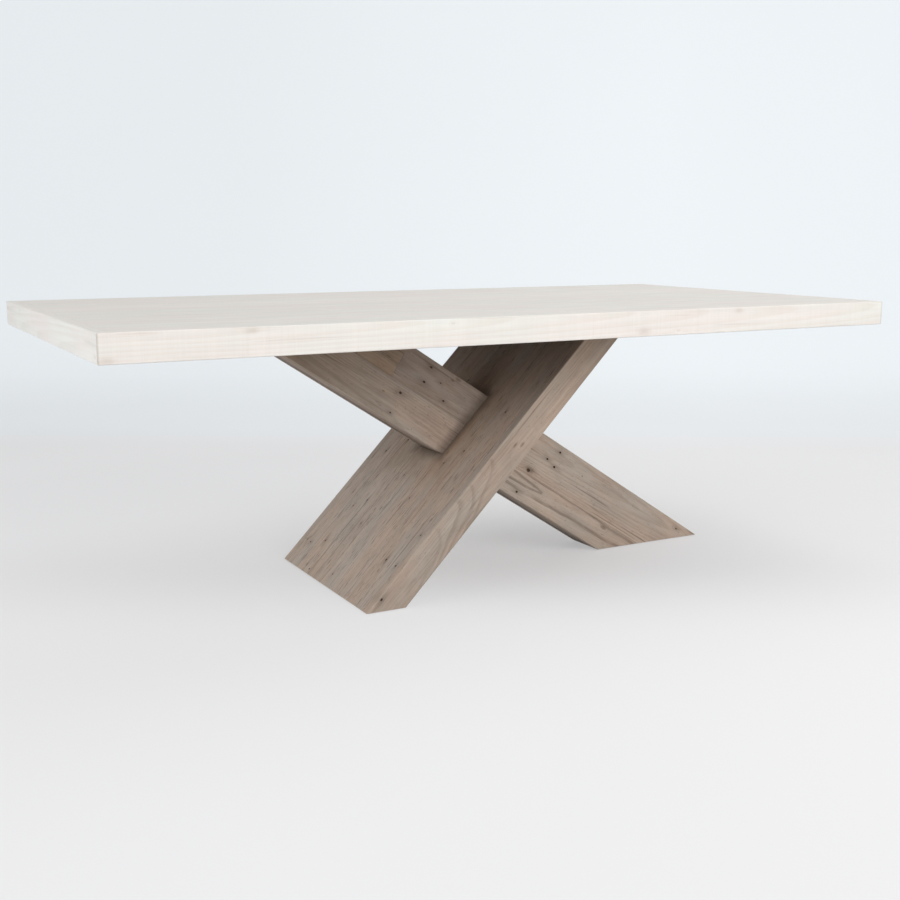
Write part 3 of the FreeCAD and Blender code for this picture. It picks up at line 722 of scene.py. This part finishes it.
def saw_marks_group():
    """Marks of a band saw, straight across the board at an uneven pace."""
    tree, ends = new_group("saw_marks", GRAIN_INPUTS)
    moved = shifted(tree, ends)
    fine = noise(tree, moved, (260, 5, 5), 2.0, 0.6)
    pace = noise(tree, moved, (60, 2, 2), 1.0)
    return close_group(tree, {"Mark": times(tree, fine, total(tree, pace, 0.5))})


GROWTH_RINGS = growth_rings_group()
FIBRES = fibres_group()
WEATHERING = weathering_group()
SAW_MARKS = saw_marks_group()
IRON_STAIN = iron_stain_group()
FLAME = flame_group()
CROSSING_SHADE = crossing_shade_group()
SEAM_GRIME = seam_grime_group()


# Finishes


def new_finish(name, **constants):
    """A material with its shader; constants are set on the shader's own sockets."""
    material = bpy.data.materials.new(name)
    material.use_nodes = True
    tree = material.node_tree
    shader = tree.nodes["Principled BSDF"]
    for socket, value in constants.items():
        shader.inputs[socket.replace("_", " ").title().replace("Ior", "IOR")].default_value = value
    return material, tree, shader


def wood_effects(tree, ring_width, waver):
    """The shared effects of wood on one board's own grain, seed, tone and knots."""
    seed, tone, hue = parts_of(tree, attribute(tree, "stock"))
    feeds = {"Grain": attribute(tree, "grain"), "Seed": seed}
    rings = {**feeds, "Ring Width": ring_width, "Waver": waver}
    for socket, name in (("Knot A", "knot_a"), ("Knot B", "knot_b"), ("Pith", "pith")):
        rings[socket] = attribute(tree, name)
    rings = place_group(tree, GROWTH_RINGS, rings)
    return rings, place_group(tree, FIBRES, feeds), place_group(tree, WEATHERING, feeds), (feeds, tone, hue)


def lit_by(tree, colour, factor):
    return add(tree, "VectorMath", {0: colour, "Scale": factor}, operation="SCALE").outputs[0]


def stained(tree, colour, marks):
    """A colour under marks, one over the other: the mask, strength and colour of each."""
    for mask, strength, shade in marks:
        colour = blend(tree, times(tree, mask, strength), colour, shade)
    return colour


def nail_stains(tree, grain):
    """The stains of all of a board's nails."""
    stains = []
    for name in NAIL_NAMES:
        feeds = {"Grain": grain, "Nail": attribute(tree, name)}
        stains.append(place_group(tree, IRON_STAIN, feeds)["Stain"])
    return chain(tree, "MAXIMUM", stains)


def set_look(tree, shader, colour, roughness, relief=None):
    """Links a shader's colour and roughness, and any relief: its height, strength and depth."""
    looks = {"Base Color": colour, "Roughness": roughness}
    if relief:
        looks["Normal"] = add(tree, "Bump", zip(("Height", "Strength", "Distance"), relief)).outputs[0]
    feed(tree, shader, looks)


def reclaimed_pine():
    """Grey-brown old pine of the legs."""
    material, tree, shader = new_finish("reclaimed_pine", specular_ior_level=0.3)
    rings, fibres, weather, (feeds, tone, hue) = wood_effects(tree, ring_width=0.0062, waver=0.016)
    grime = place_group(tree, SEAM_GRIME, {**feeds, "Half": attribute(tree, "half")})["Grime"]
    tongues = {"Tip": attribute(tree, "flame_tip"), "Run": attribute(tree, "flame_run")}
    flame = place_group(tree, FLAME, {**feeds, **tongues})["Line"]
    late_share, dash_share, flame_share = parts_of(tree, attribute(tree, "figure"))
    wear = add(tree, "Attribute", attribute_name="wear").outputs["Fac"]
    place = object_place(tree)
    crossing = place_group(tree, CROSSING_SHADE, {"Place": place})
    head_shade_share, low, high = parts_of(tree, attribute(tree, "head_shade"))
    head_shade = ease(tree, parts_of(tree, place)[2], low, high)
    colour = blend(tree, weather["Patch"], paint(173, 162, 152), paint(179, 160, 146))
    colour = blend(tree, hue, colour, paint(168, 143, 119))
    late = times(tree, rings["Late Wood"], late_share, 0.30)
    colour = blend(tree, late, colour, paint(190, 172, 156), "MULTIPLY")
    factor = total(
        tree,
        centred(tree, fibres["Fine"], 0.42),
        centred(tree, fibres["Streak"], 0.34),
        centred(tree, weather["Cloud"], 0.50),
        tone,
        1.0,
    )
    marks = (
        (times(tree, flame, flame_share), 0.54, paint(108, 90, 76)),
        (fibres["Check"], 0.45, paint(92, 78, 66)),
        (ease(tree, rings["Knot"], 0.35, 0.95), 0.55, paint(104, 82, 64)),
        (weather["Speck"], 0.40, paint(98, 84, 72)),
        (times(tree, fibres["Dash"], dash_share), 0.60, paint(98, 84, 72)),
        (grime, 0.40, paint(90, 77, 67)),
        (nail_stains(tree, feeds["Grain"]), 0.36, paint(84, 70, 60)),
        (wear, 0.38, paint(206, 190, 174)),
        # Painted shade: the slab's boards grow darker towards the head, under the top
        (head_shade, head_shade_share, paint(60, 46, 34)),
        # A wider, warm darkening round the crossing on the slab, then painted shade where the beam meets
        # the slab
        (crossing["Bloom"], times(tree, head_shade_share, BLOOM_STRENGTH), paint(150, 122, 92)),
        (crossing["Painted_Shade"], 0.60, paint(84, 71, 61)),
    )
    colour = stained(tree, lit_by(tree, colour, factor), marks)
    rough = total(tree, centred(tree, fibres["Streak"], -0.25), 0.74)
    height = total(
        tree,
        centred(tree, fibres["Fine"], 0.7),
        centred(tree, fibres["Streak"], 0.8),
        times(tree, rings["Late Wood"], 0.35),
        times(tree, fibres["Check"], -0.9),
    )
    set_look(tree, shader, colour, rough, (height, 0.55, 0.0009))
    return material


def whitewashed_pine():
    """Bleached, whitewashed pine of the top. Its hue is how strongly saw marks and mitres show."""
    material, tree, shader = new_finish("whitewashed_pine", specular_ior_level=0.3)
    rings, fibres, weather, (feeds, tone, hue) = wood_effects(tree, ring_width=0.009, waver=0.018)
    saw_mark = place_group(tree, SAW_MARKS, feeds)["Mark"]
    along, half = (parts_of(tree, vector)[0] for vector in (feeds["Grain"], attribute(tree, "half")))
    room = minus(tree, half, calc(tree, "ABSOLUTE", along))
    mitre = times(tree, rest_of(tree, ease(tree, room, *MITRE_GRIME)), hue)
    colour = blend(tree, weather["Patch"], paint(240, 238, 232), paint(242, 235, 230))
    late = times(tree, rings["Late Wood"], 0.20)
    colour = blend(tree, late, colour, paint(236, 228, 217), "MULTIPLY")
    factor = total(
        tree,
        centred(tree, fibres["Fine"], 0.09),
        centred(tree, fibres["Streak"], 0.12),
        centred(tree, weather["Cloud"], 0.07),
        times(tree, centred(tree, saw_mark, 0.07), hue),
        tone,
        1.0,
    )
    marks = (
        (fibres["Check"], 0.16, paint(190, 176, 160)),
        (ease(tree, rings["Knot"], 0.4, 0.95), 0.18, paint(176, 158, 140)),
        (nail_stains(tree, feeds["Grain"]), 0.26, paint(172, 152, 132)),
        (mitre, 0.34, paint(150, 140, 126)),
    )
    colour = stained(tree, lit_by(tree, colour, factor), marks)
    rough = total(tree, centred(tree, fibres["Streak"], -0.2), 0.66)
    height = total(
        tree,
        centred(tree, fibres["Fine"], 0.5),
        times(tree, rings["Late Wood"], 0.3),
        times(tree, centred(tree, saw_mark, 1.6), hue),
        times(tree, fibres["Check"], -0.5),
    )
    set_look(tree, shader, colour, rough, (height, 0.4, 0.0006))
    return material


def plain_softwood():
    """Unfinished softwood of the battens and inner frames."""
    material, tree, shader = new_finish("plain_softwood", specular_ior_level=0.3)
    rings, fibres, weather, (_, tone, _) = wood_effects(tree, ring_width=0.005, waver=0.012)
    colour = blend(tree, weather["Patch"], paint(158, 132, 104), paint(168, 142, 113))
    late = times(tree, rings["Late Wood"], 0.6)
    colour = blend(tree, late, colour, paint(220, 184, 146), "MULTIPLY")
    fine, streak = centred(tree, fibres["Fine"], 0.2), centred(tree, fibres["Streak"], 0.2)
    colour = lit_by(tree, colour, total(tree, fine, streak, tone, 1.0))
    height = total(tree, fibres["Fine"], rings["Late Wood"])
    set_look(tree, shader, colour, total(tree, fine, 0.7), (height, 0.3, 0.0004))
    return material


def sealed_underside():
    """Dark sealer brushed on the top's underside, darker over the late wood."""
    material, tree, shader = new_finish("sealed_underside", specular_ior_level=0.3)
    rings, fibres, weather, _ = wood_effects(tree, ring_width=0.006, waver=0.014)
    colour = blend(tree, weather["Patch"], paint(98, 80, 64), paint(112, 93, 76))
    colour = stained(tree, colour, [(rings["Late Wood"], 0.5, paint(84, 66, 51))])
    factor = total(tree, centred(tree, fibres["Fine"], 0.3), centred(tree, fibres["Streak"], 0.4), 1.0)
    rough = total(tree, centred(tree, weather["Cloud"], 0.3), 0.6)
    height = total(tree, fibres["Fine"], rings["Late Wood"])
    set_look(tree, shader, lit_by(tree, colour, factor), rough, (height, 0.3, 0.0004))
    return material


def even_finish(name, grain, span, colours, roughness, relief=None, cloud=None, **constants):
    """A finish that is alike all over, from a noise with its scale, detail and roughness. The two colours
    blend over a span of it, or of a broader cloud. Roughness is a gain and a middle, relief a strength and
    a depth."""
    material, tree, shader = new_finish(name, **constants)
    place = object_place(tree)
    speck = noise(tree, place, *grain)
    patch = noise(tree, place, *cloud) if cloud else speck
    colour = blend(tree, ease(tree, patch, *span), *(paint(*colour) for colour in colours))
    gain, middle = roughness
    rough = total(tree, centred(tree, speck, gain), middle)
    set_look(tree, shader, colour, rough, (speck, *relief) if relief else None)
    return material


def powder_coat():
    """Black powder coat with a fine orange peel."""
    colours = (30, 30, 31), (40, 39, 39)
    peel, dust = (700, 2.0, 0.5), (40, 3.0, 0.6)
    return even_finish("black_powder_coat", peel, (0.4, 0.7), colours, (0.25, 0.5), (0.25, 0.0004), dust)


def zinc_plate():
    """Zinc-plated steel with a cloudy, slightly yellow bloom."""
    colours = (188, 190, 192), (196, 192, 176)
    return even_finish("zinc_plate", (160, 3.0, 0.6), (0.35, 0.65), colours, (0.3, 0.38), metallic=1.0)


def dense_felt():
    """Dark felt of the foot pads."""
    colours, look = ((58, 54, 50), (92, 86, 80)), {"relief": (0.6, 0.0005), "specular_ior_level": 0.1}
    return even_finish("dense_felt", (1200, 3.0, 0.7), (0.3, 0.7), colours, (0.1, 0.93), **look)


def old_nail_hole():
    """Wood stained black-brown by iron, inside the nail holes."""
    colours, look = ((78, 62, 51), (104, 85, 70)), {"specular_ior_level": 0.1}
    return even_finish("old_nail_hole", (900, 2.0, 0.6), (0.35, 0.65), colours, (0.3, 0.85), **look)


FINISHES = {
    "top_wood": whitewashed_pine(),
    "leg_wood": reclaimed_pine(),
    "frame_wood": plain_softwood(),
    "plate_steel": powder_coat(),
    "fastener_steel": zinc_plate(),
    "felt": dense_felt(),
}
NAIL_HOLE = old_nail_hole()
UNDERSIDE = sealed_underside()


# Dressing the boards

DOWNWARD = -0.9
KNOT_SIZES = (0.003, 0.006)
PITH_ACROSS = 0.05
PITH_DEPTHS = (0.045, 0.09)
PITH_SLOPE = 0.03
LATE_SHARES = {"calm": 0.4, "lively": 0.7}
DASH_SHARES = {"slab": 1.0, "other": 0.35}


def inside_board(place, axes, bm, margin):
    """Whether a place lies on a board, at least a margin from its ends and sides."""
    along, across, out_of, _ = axes
    for axis, room in ((along, margin), (across, margin), (out_of, -margin)):
        low, high = extent(bm, axis)
        if not low + room <= place.dot(axis) <= high - room:
            return False
    return True


def arris_nicks(tools, axes, bm, chance):
    """Small scoops here and there on the board's four long arrises."""
    along, across, out_of, _ = axes
    low, high = extent(bm, along)
    for step in range(int((high - low) / NICK_STEP)):
        spot = along * (low + NICK_STEP * (step + chance.uniform(*NICK_SPREAD)))
        spot += across * chance.choice(extent(bm, across)) + out_of * chance.choice(extent(bm, out_of))
        nick_tool(tools, spot, along, chance.uniform(*NICK_SIZES))


def far_holes(node, axes, bm):
    """Seeded nail holes on the outer face of a board that the camera can't see."""
    outward = [way for start, way in FAR_SIDES.items() if node.startswith(start)]
    if not outward:
        return []
    chance = random.Random(node + "_holes")
    along, across, _, middle = axes
    low, high = extent(bm, along)
    near, far = extent(bm, across)
    level = extent(bm, outward[0])[1] - middle.dot(outward[0])
    step = (high - low) / FAR_HOLES
    holes = []
    for place in range(FAR_HOLES):
        spot = middle + outward[0] * level
        spot += along * (low + step * (place + chance.uniform(*FAR_HOLE_SPREAD)) - middle.dot(along))
        sideways = chance.uniform(near + FAR_HOLE_MARGIN, far - FAR_HOLE_MARGIN)
        spot += across * (sideways - middle.dot(across))
        holes.append((spot, outward[0], chance.uniform(*FAR_HOLE_SIZES)))
    return holes


def board_stock(node, slot, chance):
    """A board's seed, tone and hue. On the top, hue is how strongly saw marks and mitres show."""
    tone = TONES.get(node, chance.uniform(-TONE_SPREAD, TONE_SPREAD))
    hue = HUES.get(node, chance.uniform(*(SLAB_HUES if node.startswith("slab_u") else LEG_HUES)))
    if slot == "top_wood":
        edge = node.startswith("edge_board")
        tone, hue = (0.0, 1.0) if edge else (FACE_TONE + chance.uniform(-PLANK_SPREAD, PLANK_SPREAD), 0.0)
    return chance.uniform(*SEED_SPREAD), tone, hue


def board_knots(node, axes, bm, chance):
    """Two knots in the board's own grain: those that show, and otherwise seeded ones."""
    along, across, _, middle = axes
    knots = [(*in_grain(spot, axes), size) for spot, size in KNOTS.get(node, [])]
    while len(knots) < 2:
        low, high = (value - middle.dot(along) for value in extent(bm, along))
        reach = extent(bm, across)[1] - middle.dot(across)
        place = chance.uniform(low, high), chance.uniform(-reach, reach)
        knots.append((*place, chance.uniform(*KNOT_SIZES)))
    return knots


def board_flame(node, axes):
    """The tip and run of the flame that shows on a board, in its own grain, and how strongly it shows."""
    if node not in FLAMES:
        return NOWHERE, NO_RUN, 0.0
    spot, sharp, run, share = FLAMES[node]
    return (*in_grain(spot, axes), sharp), run, share


def board_facts(node, slot, axes, bm, holes, chance):
    """All that the finish of one board is told of it, from its seed to its nails."""
    along, across, out_of, middle = axes
    knots = board_knots(node, axes, bm, chance)
    facts = {"stock": board_stock(node, slot, chance), "knot_a": knots[0], "knot_b": knots[1]}
    facts["pith"] = (chance.uniform(-PITH_ACROSS, PITH_ACROSS), chance.uniform(*PITH_DEPTHS), PITH_SLOPE)
    facts["flame_tip"], facts["flame_run"], flame_share = board_flame(node, axes)
    facts["head_shade"] = next((head_shade for start, head_shade in HEAD_SHADE.items() if node.startswith(start)), NO_HEAD_SHADE)
    slab = node.startswith("slab_u")
    late_share = LATE_SHARES["calm" if slab or flame_share else "lively"]
    facts["figure"] = (late_share, DASH_SHARES["slab" if slab else "other"], flame_share)
    facts["half"] = [extent(bm, axis)[1] - middle.dot(axis) for axis in (along, across, out_of)]
    nails = [(*in_grain(place, axes), STAIN_REACH * size) for place, _, size in holes]
    if node == "edge_board_front":
        nails = [(*in_grain(Vector((x, middle.y, z)), axes), size) for x, z, size in FRONT_MARKS]
    for name, nail in zip(NAIL_NAMES, nails + [NOWHERE] * len(NAIL_NAMES)):
        facts[name] = nail
    return facts


def dress_board(node, slot, holes):
    chance = random.Random(node)
    bm = cad_copy(node)
    axes = board_axes(bm)
    shown = holes if slot == "leg_wood" else []
    own = [hole for hole in shown if inside_board(hole[0], axes, bm, HOLE_RIM * hole[2])]
    own += far_holes(node, axes, bm)
    facts = board_facts(node, slot, axes, bm, own, chance)
    tools = bmesh.new()
    for place, out_of, size in own:
        hole_tool(tools, place, out_of, axes[0], size)
    if slot == "leg_wood":
        arris_nicks(tools, axes, bm, chance)
    ease_arrises(bm, EASING[slot])
    finishes = [FINISHES[slot]]
    if slot == "top_wood":
        finishes.append(UNDERSIDE)
        for face in bm.faces:
            face.material_index = 1 if face.normal.z < DOWNWARD else 0
    piece = new_piece("dressed_" + node, bm, *finishes)
    if tools.verts:
        cut_out(piece, tools, FINISHES[slot])
    else:
        tools.free()
    mark_board(piece, axes, facts)
    if node in FADES:
        fade_board(piece, *FADES[node])
    for start, look in TONED_FACES.items():
        if node.startswith(start):
            tone_face(piece, *look)
    finish_piece(piece, slot, node)


def dress_boards():
    holes = photo_holes()
    for node, slot in NODE_SLOTS.items():
        if slot in EASING:
            dress_board(node, slot, holes)


# Metal and felt

BOLT_HEAD_RADIUS = 0.0075
BOLT_HEAD_HEIGHT = 0.0055
BOLT_SHANK_RADIUS = 0.004
BOLT_CHAMFER = 0.0010
BOLT_DISH_RIM = 0.0022
BOLT_DISH_DEPTH = 0.0004
SHANK_SIDES = 24
SCREW_HEAD_RADIUS = 0.0046
SCREW_HEAD_DEPTH = 0.0038
SCREW_POINT_RADIUS = SCREW_HEAD_RADIUS * 0.45
SCREW_HEAD_SIDES = 20
SCREW_PROUD = 0.0002
SCREW_SLOT = (0.0056, 0.0012, 0.0034)
SCREW_CLEAR = 0.012
SCREW_SHARES = (0.25, 0.75)
PAD_EASING = 0.0007
PLATE_EASING = 0.0006


def island_boxes(node):
    """The low and high corners of each separate solid of a node."""
    bm = cad_copy(node)
    left = set(bm.verts)
    boxes = []
    while left:
        group = [left.pop()]
        for vert in group:
            joined = {edge.other_vert(vert) for edge in vert.link_edges} & left
            left -= joined
            group += joined
        low = Vector([min(vert.co[axis] for vert in group) for axis in range(3)])
        high = Vector([max(vert.co[axis] for vert in group) for axis in range(3)])
        boxes.append((low, high))
    bm.free()
    return boxes


def round_bar(bm, place, radius, height, sides):
    """An upright bar on a place; gives its vertices back."""
    spot = Matrix.Translation(Vector(place) + Vector((0, 0, height / 2)))
    return taper(bm, spot, radius, radius, height, sides)


def hex_bolts():
    """Hexagon bolts up through the plates: chamfered heads with a shallow dish."""
    bm = bmesh.new()
    for low, high in island_boxes("plate_bolts"):
        middle = (low + high) / 2
        verts = round_bar(bm, (middle.x, middle.y, low.z), BOLT_HEAD_RADIUS, BOLT_HEAD_HEIGHT, 6)
        rim = [vert for vert in verts if vert.co.z < low.z + BOLT_HEAD_HEIGHT / 2]
        soften(bm, edges_between(bm, rim), BOLT_CHAMFER)
        end = min(
            bm.faces,
            key=lambda face: ((face.calc_center_median() - middle).xy.length, face.normal.z),
        )
        bmesh.ops.inset_individual(bm, faces=[end], thickness=BOLT_DISH_RIM, depth=-BOLT_DISH_DEPTH)
        top = low.z + BOLT_HEAD_HEIGHT
        round_bar(bm, (middle.x, middle.y, top), BOLT_SHANK_RADIUS, high.z - top, SHANK_SIDES)
    finish_piece(new_piece("hex_bolts", bm, FINISHES["fastener_steel"]), "fastener_steel", "plate_bolts")


def screw_head():
    """One countersunk head with a cross recess, its face down at the origin."""
    steel = FINISHES["fastener_steel"]
    bm = bmesh.new()
    spot = Matrix.Translation((0, 0, SCREW_HEAD_DEPTH / 2))
    taper(bm, spot, SCREW_HEAD_RADIUS, SCREW_POINT_RADIUS, SCREW_HEAD_DEPTH, SCREW_HEAD_SIDES)
    head = new_piece("screw_head", bm, steel)
    for turn in (0, math.pi / 2):
        slot = bmesh.new()
        size = Matrix.Diagonal((*SCREW_SLOT, 1))
        bmesh.ops.create_cube(slot, size=1.0, matrix=Matrix.Rotation(turn, 4, "Z") @ size)
        cut_out(head, slot, steel)
    shaped = bmesh.new()
    shaped.from_mesh(head.data)
    for face in shaped.faces:
        face.material_index = 0
    mesh = bpy.data.meshes.new("screw_head_shape")
    shaped.to_mesh(mesh)
    shaped.free()
    bpy.data.objects.remove(head)
    return mesh


def screw_places():
    """Two screws through each batten into each plank, clear of the steel plates."""
    plates = [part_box("slab_plate"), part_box("beam_plate")]
    planks = sorted(node for node in NODE_SLOTS if node.startswith("top_plank"))
    for batten in sorted(node for node in NODE_SLOTS if node.startswith("batten")):
        low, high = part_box(batten)
        for plank in planks:
            near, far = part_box(plank)
            for share in SCREW_SHARES:
                x, y = low.x + (high.x - low.x) * share, (near.y + far.y) / 2
                under = [
                    plate
                    for plate in plates
                    if plate[0].x - SCREW_CLEAR < x < plate[1].x + SCREW_CLEAR
                    and plate[0].y - SCREW_CLEAR < y < plate[1].y + SCREW_CLEAR
                ]
                if not under:
                    yield Vector((x, y, low.z - SCREW_PROUD))


def batten_screws():
    chance = random.Random("batten_screws")
    head = screw_head()
    bm = bmesh.new()
    for place in screw_places():
        known = len(bm.verts)
        bm.from_mesh(head)
        spot = Matrix.Translation(place) @ Matrix.Rotation(chance.uniform(0, math.pi), 4, "Z")
        bm.verts.ensure_lookup_table()
        bmesh.ops.transform(bm, matrix=spot, verts=bm.verts[known:])
    finish_piece(new_piece("batten_screws", bm, FINISHES["fastener_steel"]), "fastener_steel")


def eased_piece(name, node, slot, easing):
    """A piece that dresses one node, with eased arrises."""
    bm = cad_copy(node)
    ease_arrises(bm, easing)
    return finish_piece(new_piece(name, bm, FINISHES[slot]), slot, node)


def dress_plates():
    for node in ("slab_plate", "beam_plate"):
        eased_piece("dressed_" + node, node, "plate_steel", PLATE_EASING)


def felt_pads():
    pads = eased_piece("felt_pads", "foot_pads", "felt", PAD_EASING)


def hidden_fasteners():
    """Screws and inserts inside the wood keep their solids and take zinc."""
    for node in ("head_screws", "threaded_inserts"):
        materials = frame["nodes"][node].data.materials
        materials.clear()
        materials.append(FINISHES["fastener_steel"])


# Studio

# The photo's camera: its place, its turns in radians, its lens and sensor in millimetres
CAMERA_PLACE = Vector((-1.5851, -2.9075, 0.9684))
CAMERA_YAW = 0.5002
CAMERA_PITCH = 0.1873
CAMERA_ROLL = 0.0021
CAMERA_LENS = 47.62
CAMERA_SENSOR = 36.0


def photo_camera():
    data = bpy.data.cameras.new("photo_camera")
    data.lens = CAMERA_LENS
    data.sensor_width = CAMERA_SENSOR
    camera = bpy.data.objects.new("photo_camera", data)
    yaw = Matrix.Rotation(-CAMERA_YAW, 4, "Z")
    pitch = Matrix.Rotation(math.pi / 2 - CAMERA_PITCH, 4, "X")
    roll = Matrix.Rotation(CAMERA_ROLL, 4, "Z")
    camera.matrix_world = Matrix.Translation(CAMERA_PLACE) @ yaw @ pitch @ roll
    bpy.context.scene.collection.objects.link(camera)
    bpy.context.scene.camera = camera


# The paper: a level floor, a bend and an upright backdrop
SWEEP_WIDTH = 160.0
SWEEP_FRONT = 80.0
SWEEP_BACK = 4.2
SWEEP_RADIUS = 1.6
SWEEP_RISE = 9.0
SWEEP_STEPS = 24

# How much of the paper's look is a glow of its own: before the table, under it and on the backdrop, and the
# depths over which one passes into the next. The tint changes at the floor's end, and far off all glows
FRONT_GLOW = 0.70
FLOOR_GLOW = 0.50
BACKDROP_GLOW = 0.76
FLOOR_FRONT = (-0.6, 0.05)
BACKDROP_DEPTH = (1.8, 5.0)
FLOOR_END = (1.8, 2.4)
FLOOR_FADE = (3.2, 10.0)

# The glow is dimmer to the left and brighter to the right: how far aside, and its strength at each side
PAPER_SIDES = (1.6, 0.965, 1.055)

# The shade between the feet: its middle, its reach and how much of the glow it takes
SHADE_PLACE = (0.22, 0.0, 0.0)
SHADE_REACH = (0.10, 0.60)
SHADE = 0.09


def seamless_paper():
    """Pale paper. Rays that show it see it partly backlit, and from below it is clear."""
    material, tree, shader = new_finish("seamless_paper", roughness=0.9, specular_ior_level=0.0)
    place = object_place(tree)
    cloud = noise(tree, place, 0.6)
    colour = blend(tree, ease(tree, cloud, 0.3, 0.7), paint(230, 230, 230), paint(234, 234, 235))
    feed(tree, shader, {"Base Color": colour})
    depth = reach_along(tree, place, (math.sin(CAMERA_YAW), math.cos(CAMERA_YAW), 0))
    aside = reach_along(tree, place, (math.cos(CAMERA_YAW), -math.sin(CAMERA_YAW), 0))
    before = calc(tree, "MINIMUM", depth, 0.0)
    away = ease(tree, calc(tree, "SQRT", squares(tree, before, aside)), *FLOOR_FADE)
    tone = blend(tree, ease(tree, depth, *FLOOR_END), paint(244, 244, 245), paint(245, 251, 255))
    reach, dim, bright = PAPER_SIDES
    sides = {"Value": aside, "From Min": -reach, "From Max": reach, "To Min": dim, "To Max": bright}
    strength = add(tree, "MapRange", sides).outputs[0]
    glow = add(tree, "Emission", {0: blend(tree, away, tone, paint(240, 241, 243)), 1: strength})
    share = between(tree, ease(tree, depth, *FLOOR_FRONT), FRONT_GLOW, FLOOR_GLOW)
    share = between(tree, ease(tree, depth, *BACKDROP_DEPTH), share, BACKDROP_GLOW)
    gap = add(tree, "VectorMath", {0: place, 1: SHADE_PLACE}, operation="DISTANCE").outputs["Value"]
    shade = rest_of(tree, ease(tree, gap, *SHADE_REACH))
    share = calc(tree, "MAXIMUM", minus(tree, share, times(tree, shade, SHADE)), away)
    feeds = {0: times(tree, share, seen_share(tree)), 1: shader.outputs[0], 2: glow.outputs[0]}
    lit = add(tree, "MixShader", feeds).outputs[0]
    clear = add(tree, "BsdfTransparent").outputs[0]
    below = add(tree, "NewGeometry").outputs["Backfacing"]
    paper = add(tree, "MixShader", {0: below, 1: lit, 2: clear}).outputs[0]
    feed(tree, tree.nodes["Material Output"], {"Surface": paper})
    return material


def pulled(bm, edges, way):
    """Extrudes edges along a way and gives the far edges back."""
    made = bmesh.ops.extrude_edge_only(bm, edges=edges)["geom"]
    verts = [item for item in made if isinstance(item, bmesh.types.BMVert)]
    bmesh.ops.translate(bm, vec=way, verts=verts)
    return edges_between(bm, verts)


def studio_sweep():
    """A paper floor that curves up into a backdrop, square to the camera."""
    bm = bmesh.new()
    ends = [bm.verts.new((side * SWEEP_WIDTH / 2, -SWEEP_FRONT, 0)) for side in (-1, 1)]
    rim = pulled(bm, [bm.edges.new(ends)], (0, SWEEP_FRONT + SWEEP_BACK, 0))
    bent = bmesh.ops.spin(
        bm,
        geom=rim + list(rim[0].verts),
        cent=(0, SWEEP_BACK, SWEEP_RADIUS),
        axis=(1, 0, 0),
        angle=math.pi / 2,
        steps=SWEEP_STEPS,
        use_merge=False,
    )
    rim = [item for item in bent["geom_last"] if isinstance(item, bmesh.types.BMEdge)]
    pulled(bm, rim, (0, 0, SWEEP_RISE))
    bmesh.ops.rotate(bm, matrix=Matrix.Rotation(-CAMERA_YAW, 3, "Z"), verts=bm.verts)
    if bm.faces[:][0].normal.z < 0:
        bmesh.ops.reverse_faces(bm, faces=bm.faces)
    for face in bm.faces:
        face.smooth = True
    new_piece("studio_sweep", bm, seamless_paper())


# Light of the air: its colour, how much it lights, and how bright it is where it is seen
AIR_COLOUR = (0.97, 0.985, 1.0, 1.0)
AIR_LIGHT = 0.45
AIR_SEEN = 0.90

# Soft boxes, all aimed at one spot: place, width, height, power, colour
LIGHT_AIM = Vector((0.0, 0.0, 0.4))
SOFT_BOXES = {
    "front_soft_box": ((0.8, -5.4, 2.8), 4.6, 3.0, 150.0, (1.0, 0.985, 0.96)),
    "left_soft_box": ((-5.4, -0.6, 2.0), 3.4, 2.6, 92.0, (0.95, 0.98, 1.0)),
    "over_soft_box": ((1.8, 0.6, 4.4), 4.0, 3.0, 58.0, (1.0, 1.0, 1.0)),
}


def soft_box(name, place, width, height, power, colour):
    data = bpy.data.lights.new(name, "AREA")
    data.shape = "RECTANGLE"
    data.size = width
    data.size_y = height
    data.energy = power
    data.color = colour
    light = bpy.data.objects.new(name, data)
    turn = (LIGHT_AIM - Vector(place)).to_track_quat("-Z", "Y").to_matrix().to_4x4()
    light.matrix_world = Matrix.Translation(place) @ turn
    bpy.context.scene.collection.objects.link(light)


def studio_light():
    world = bpy.data.worlds.new("studio_air")
    bpy.context.scene.world = world
    world.use_nodes = True
    tree = world.node_tree
    level = between(tree, seen_share(tree), AIR_LIGHT, AIR_SEEN)
    feed(tree, tree.nodes["Background"], {"Color": AIR_COLOUR, "Strength": level})
    for name, box in SOFT_BOXES.items():
        soft_box(name, *box)


dress_boards()
dress_plates()
hex_bolts()
batten_screws()
felt_pads()
hidden_fasteners()
studio_sweep()
studio_light()
photo_camera()
bpy.context.scene.view_settings.view_transform = "Standard"
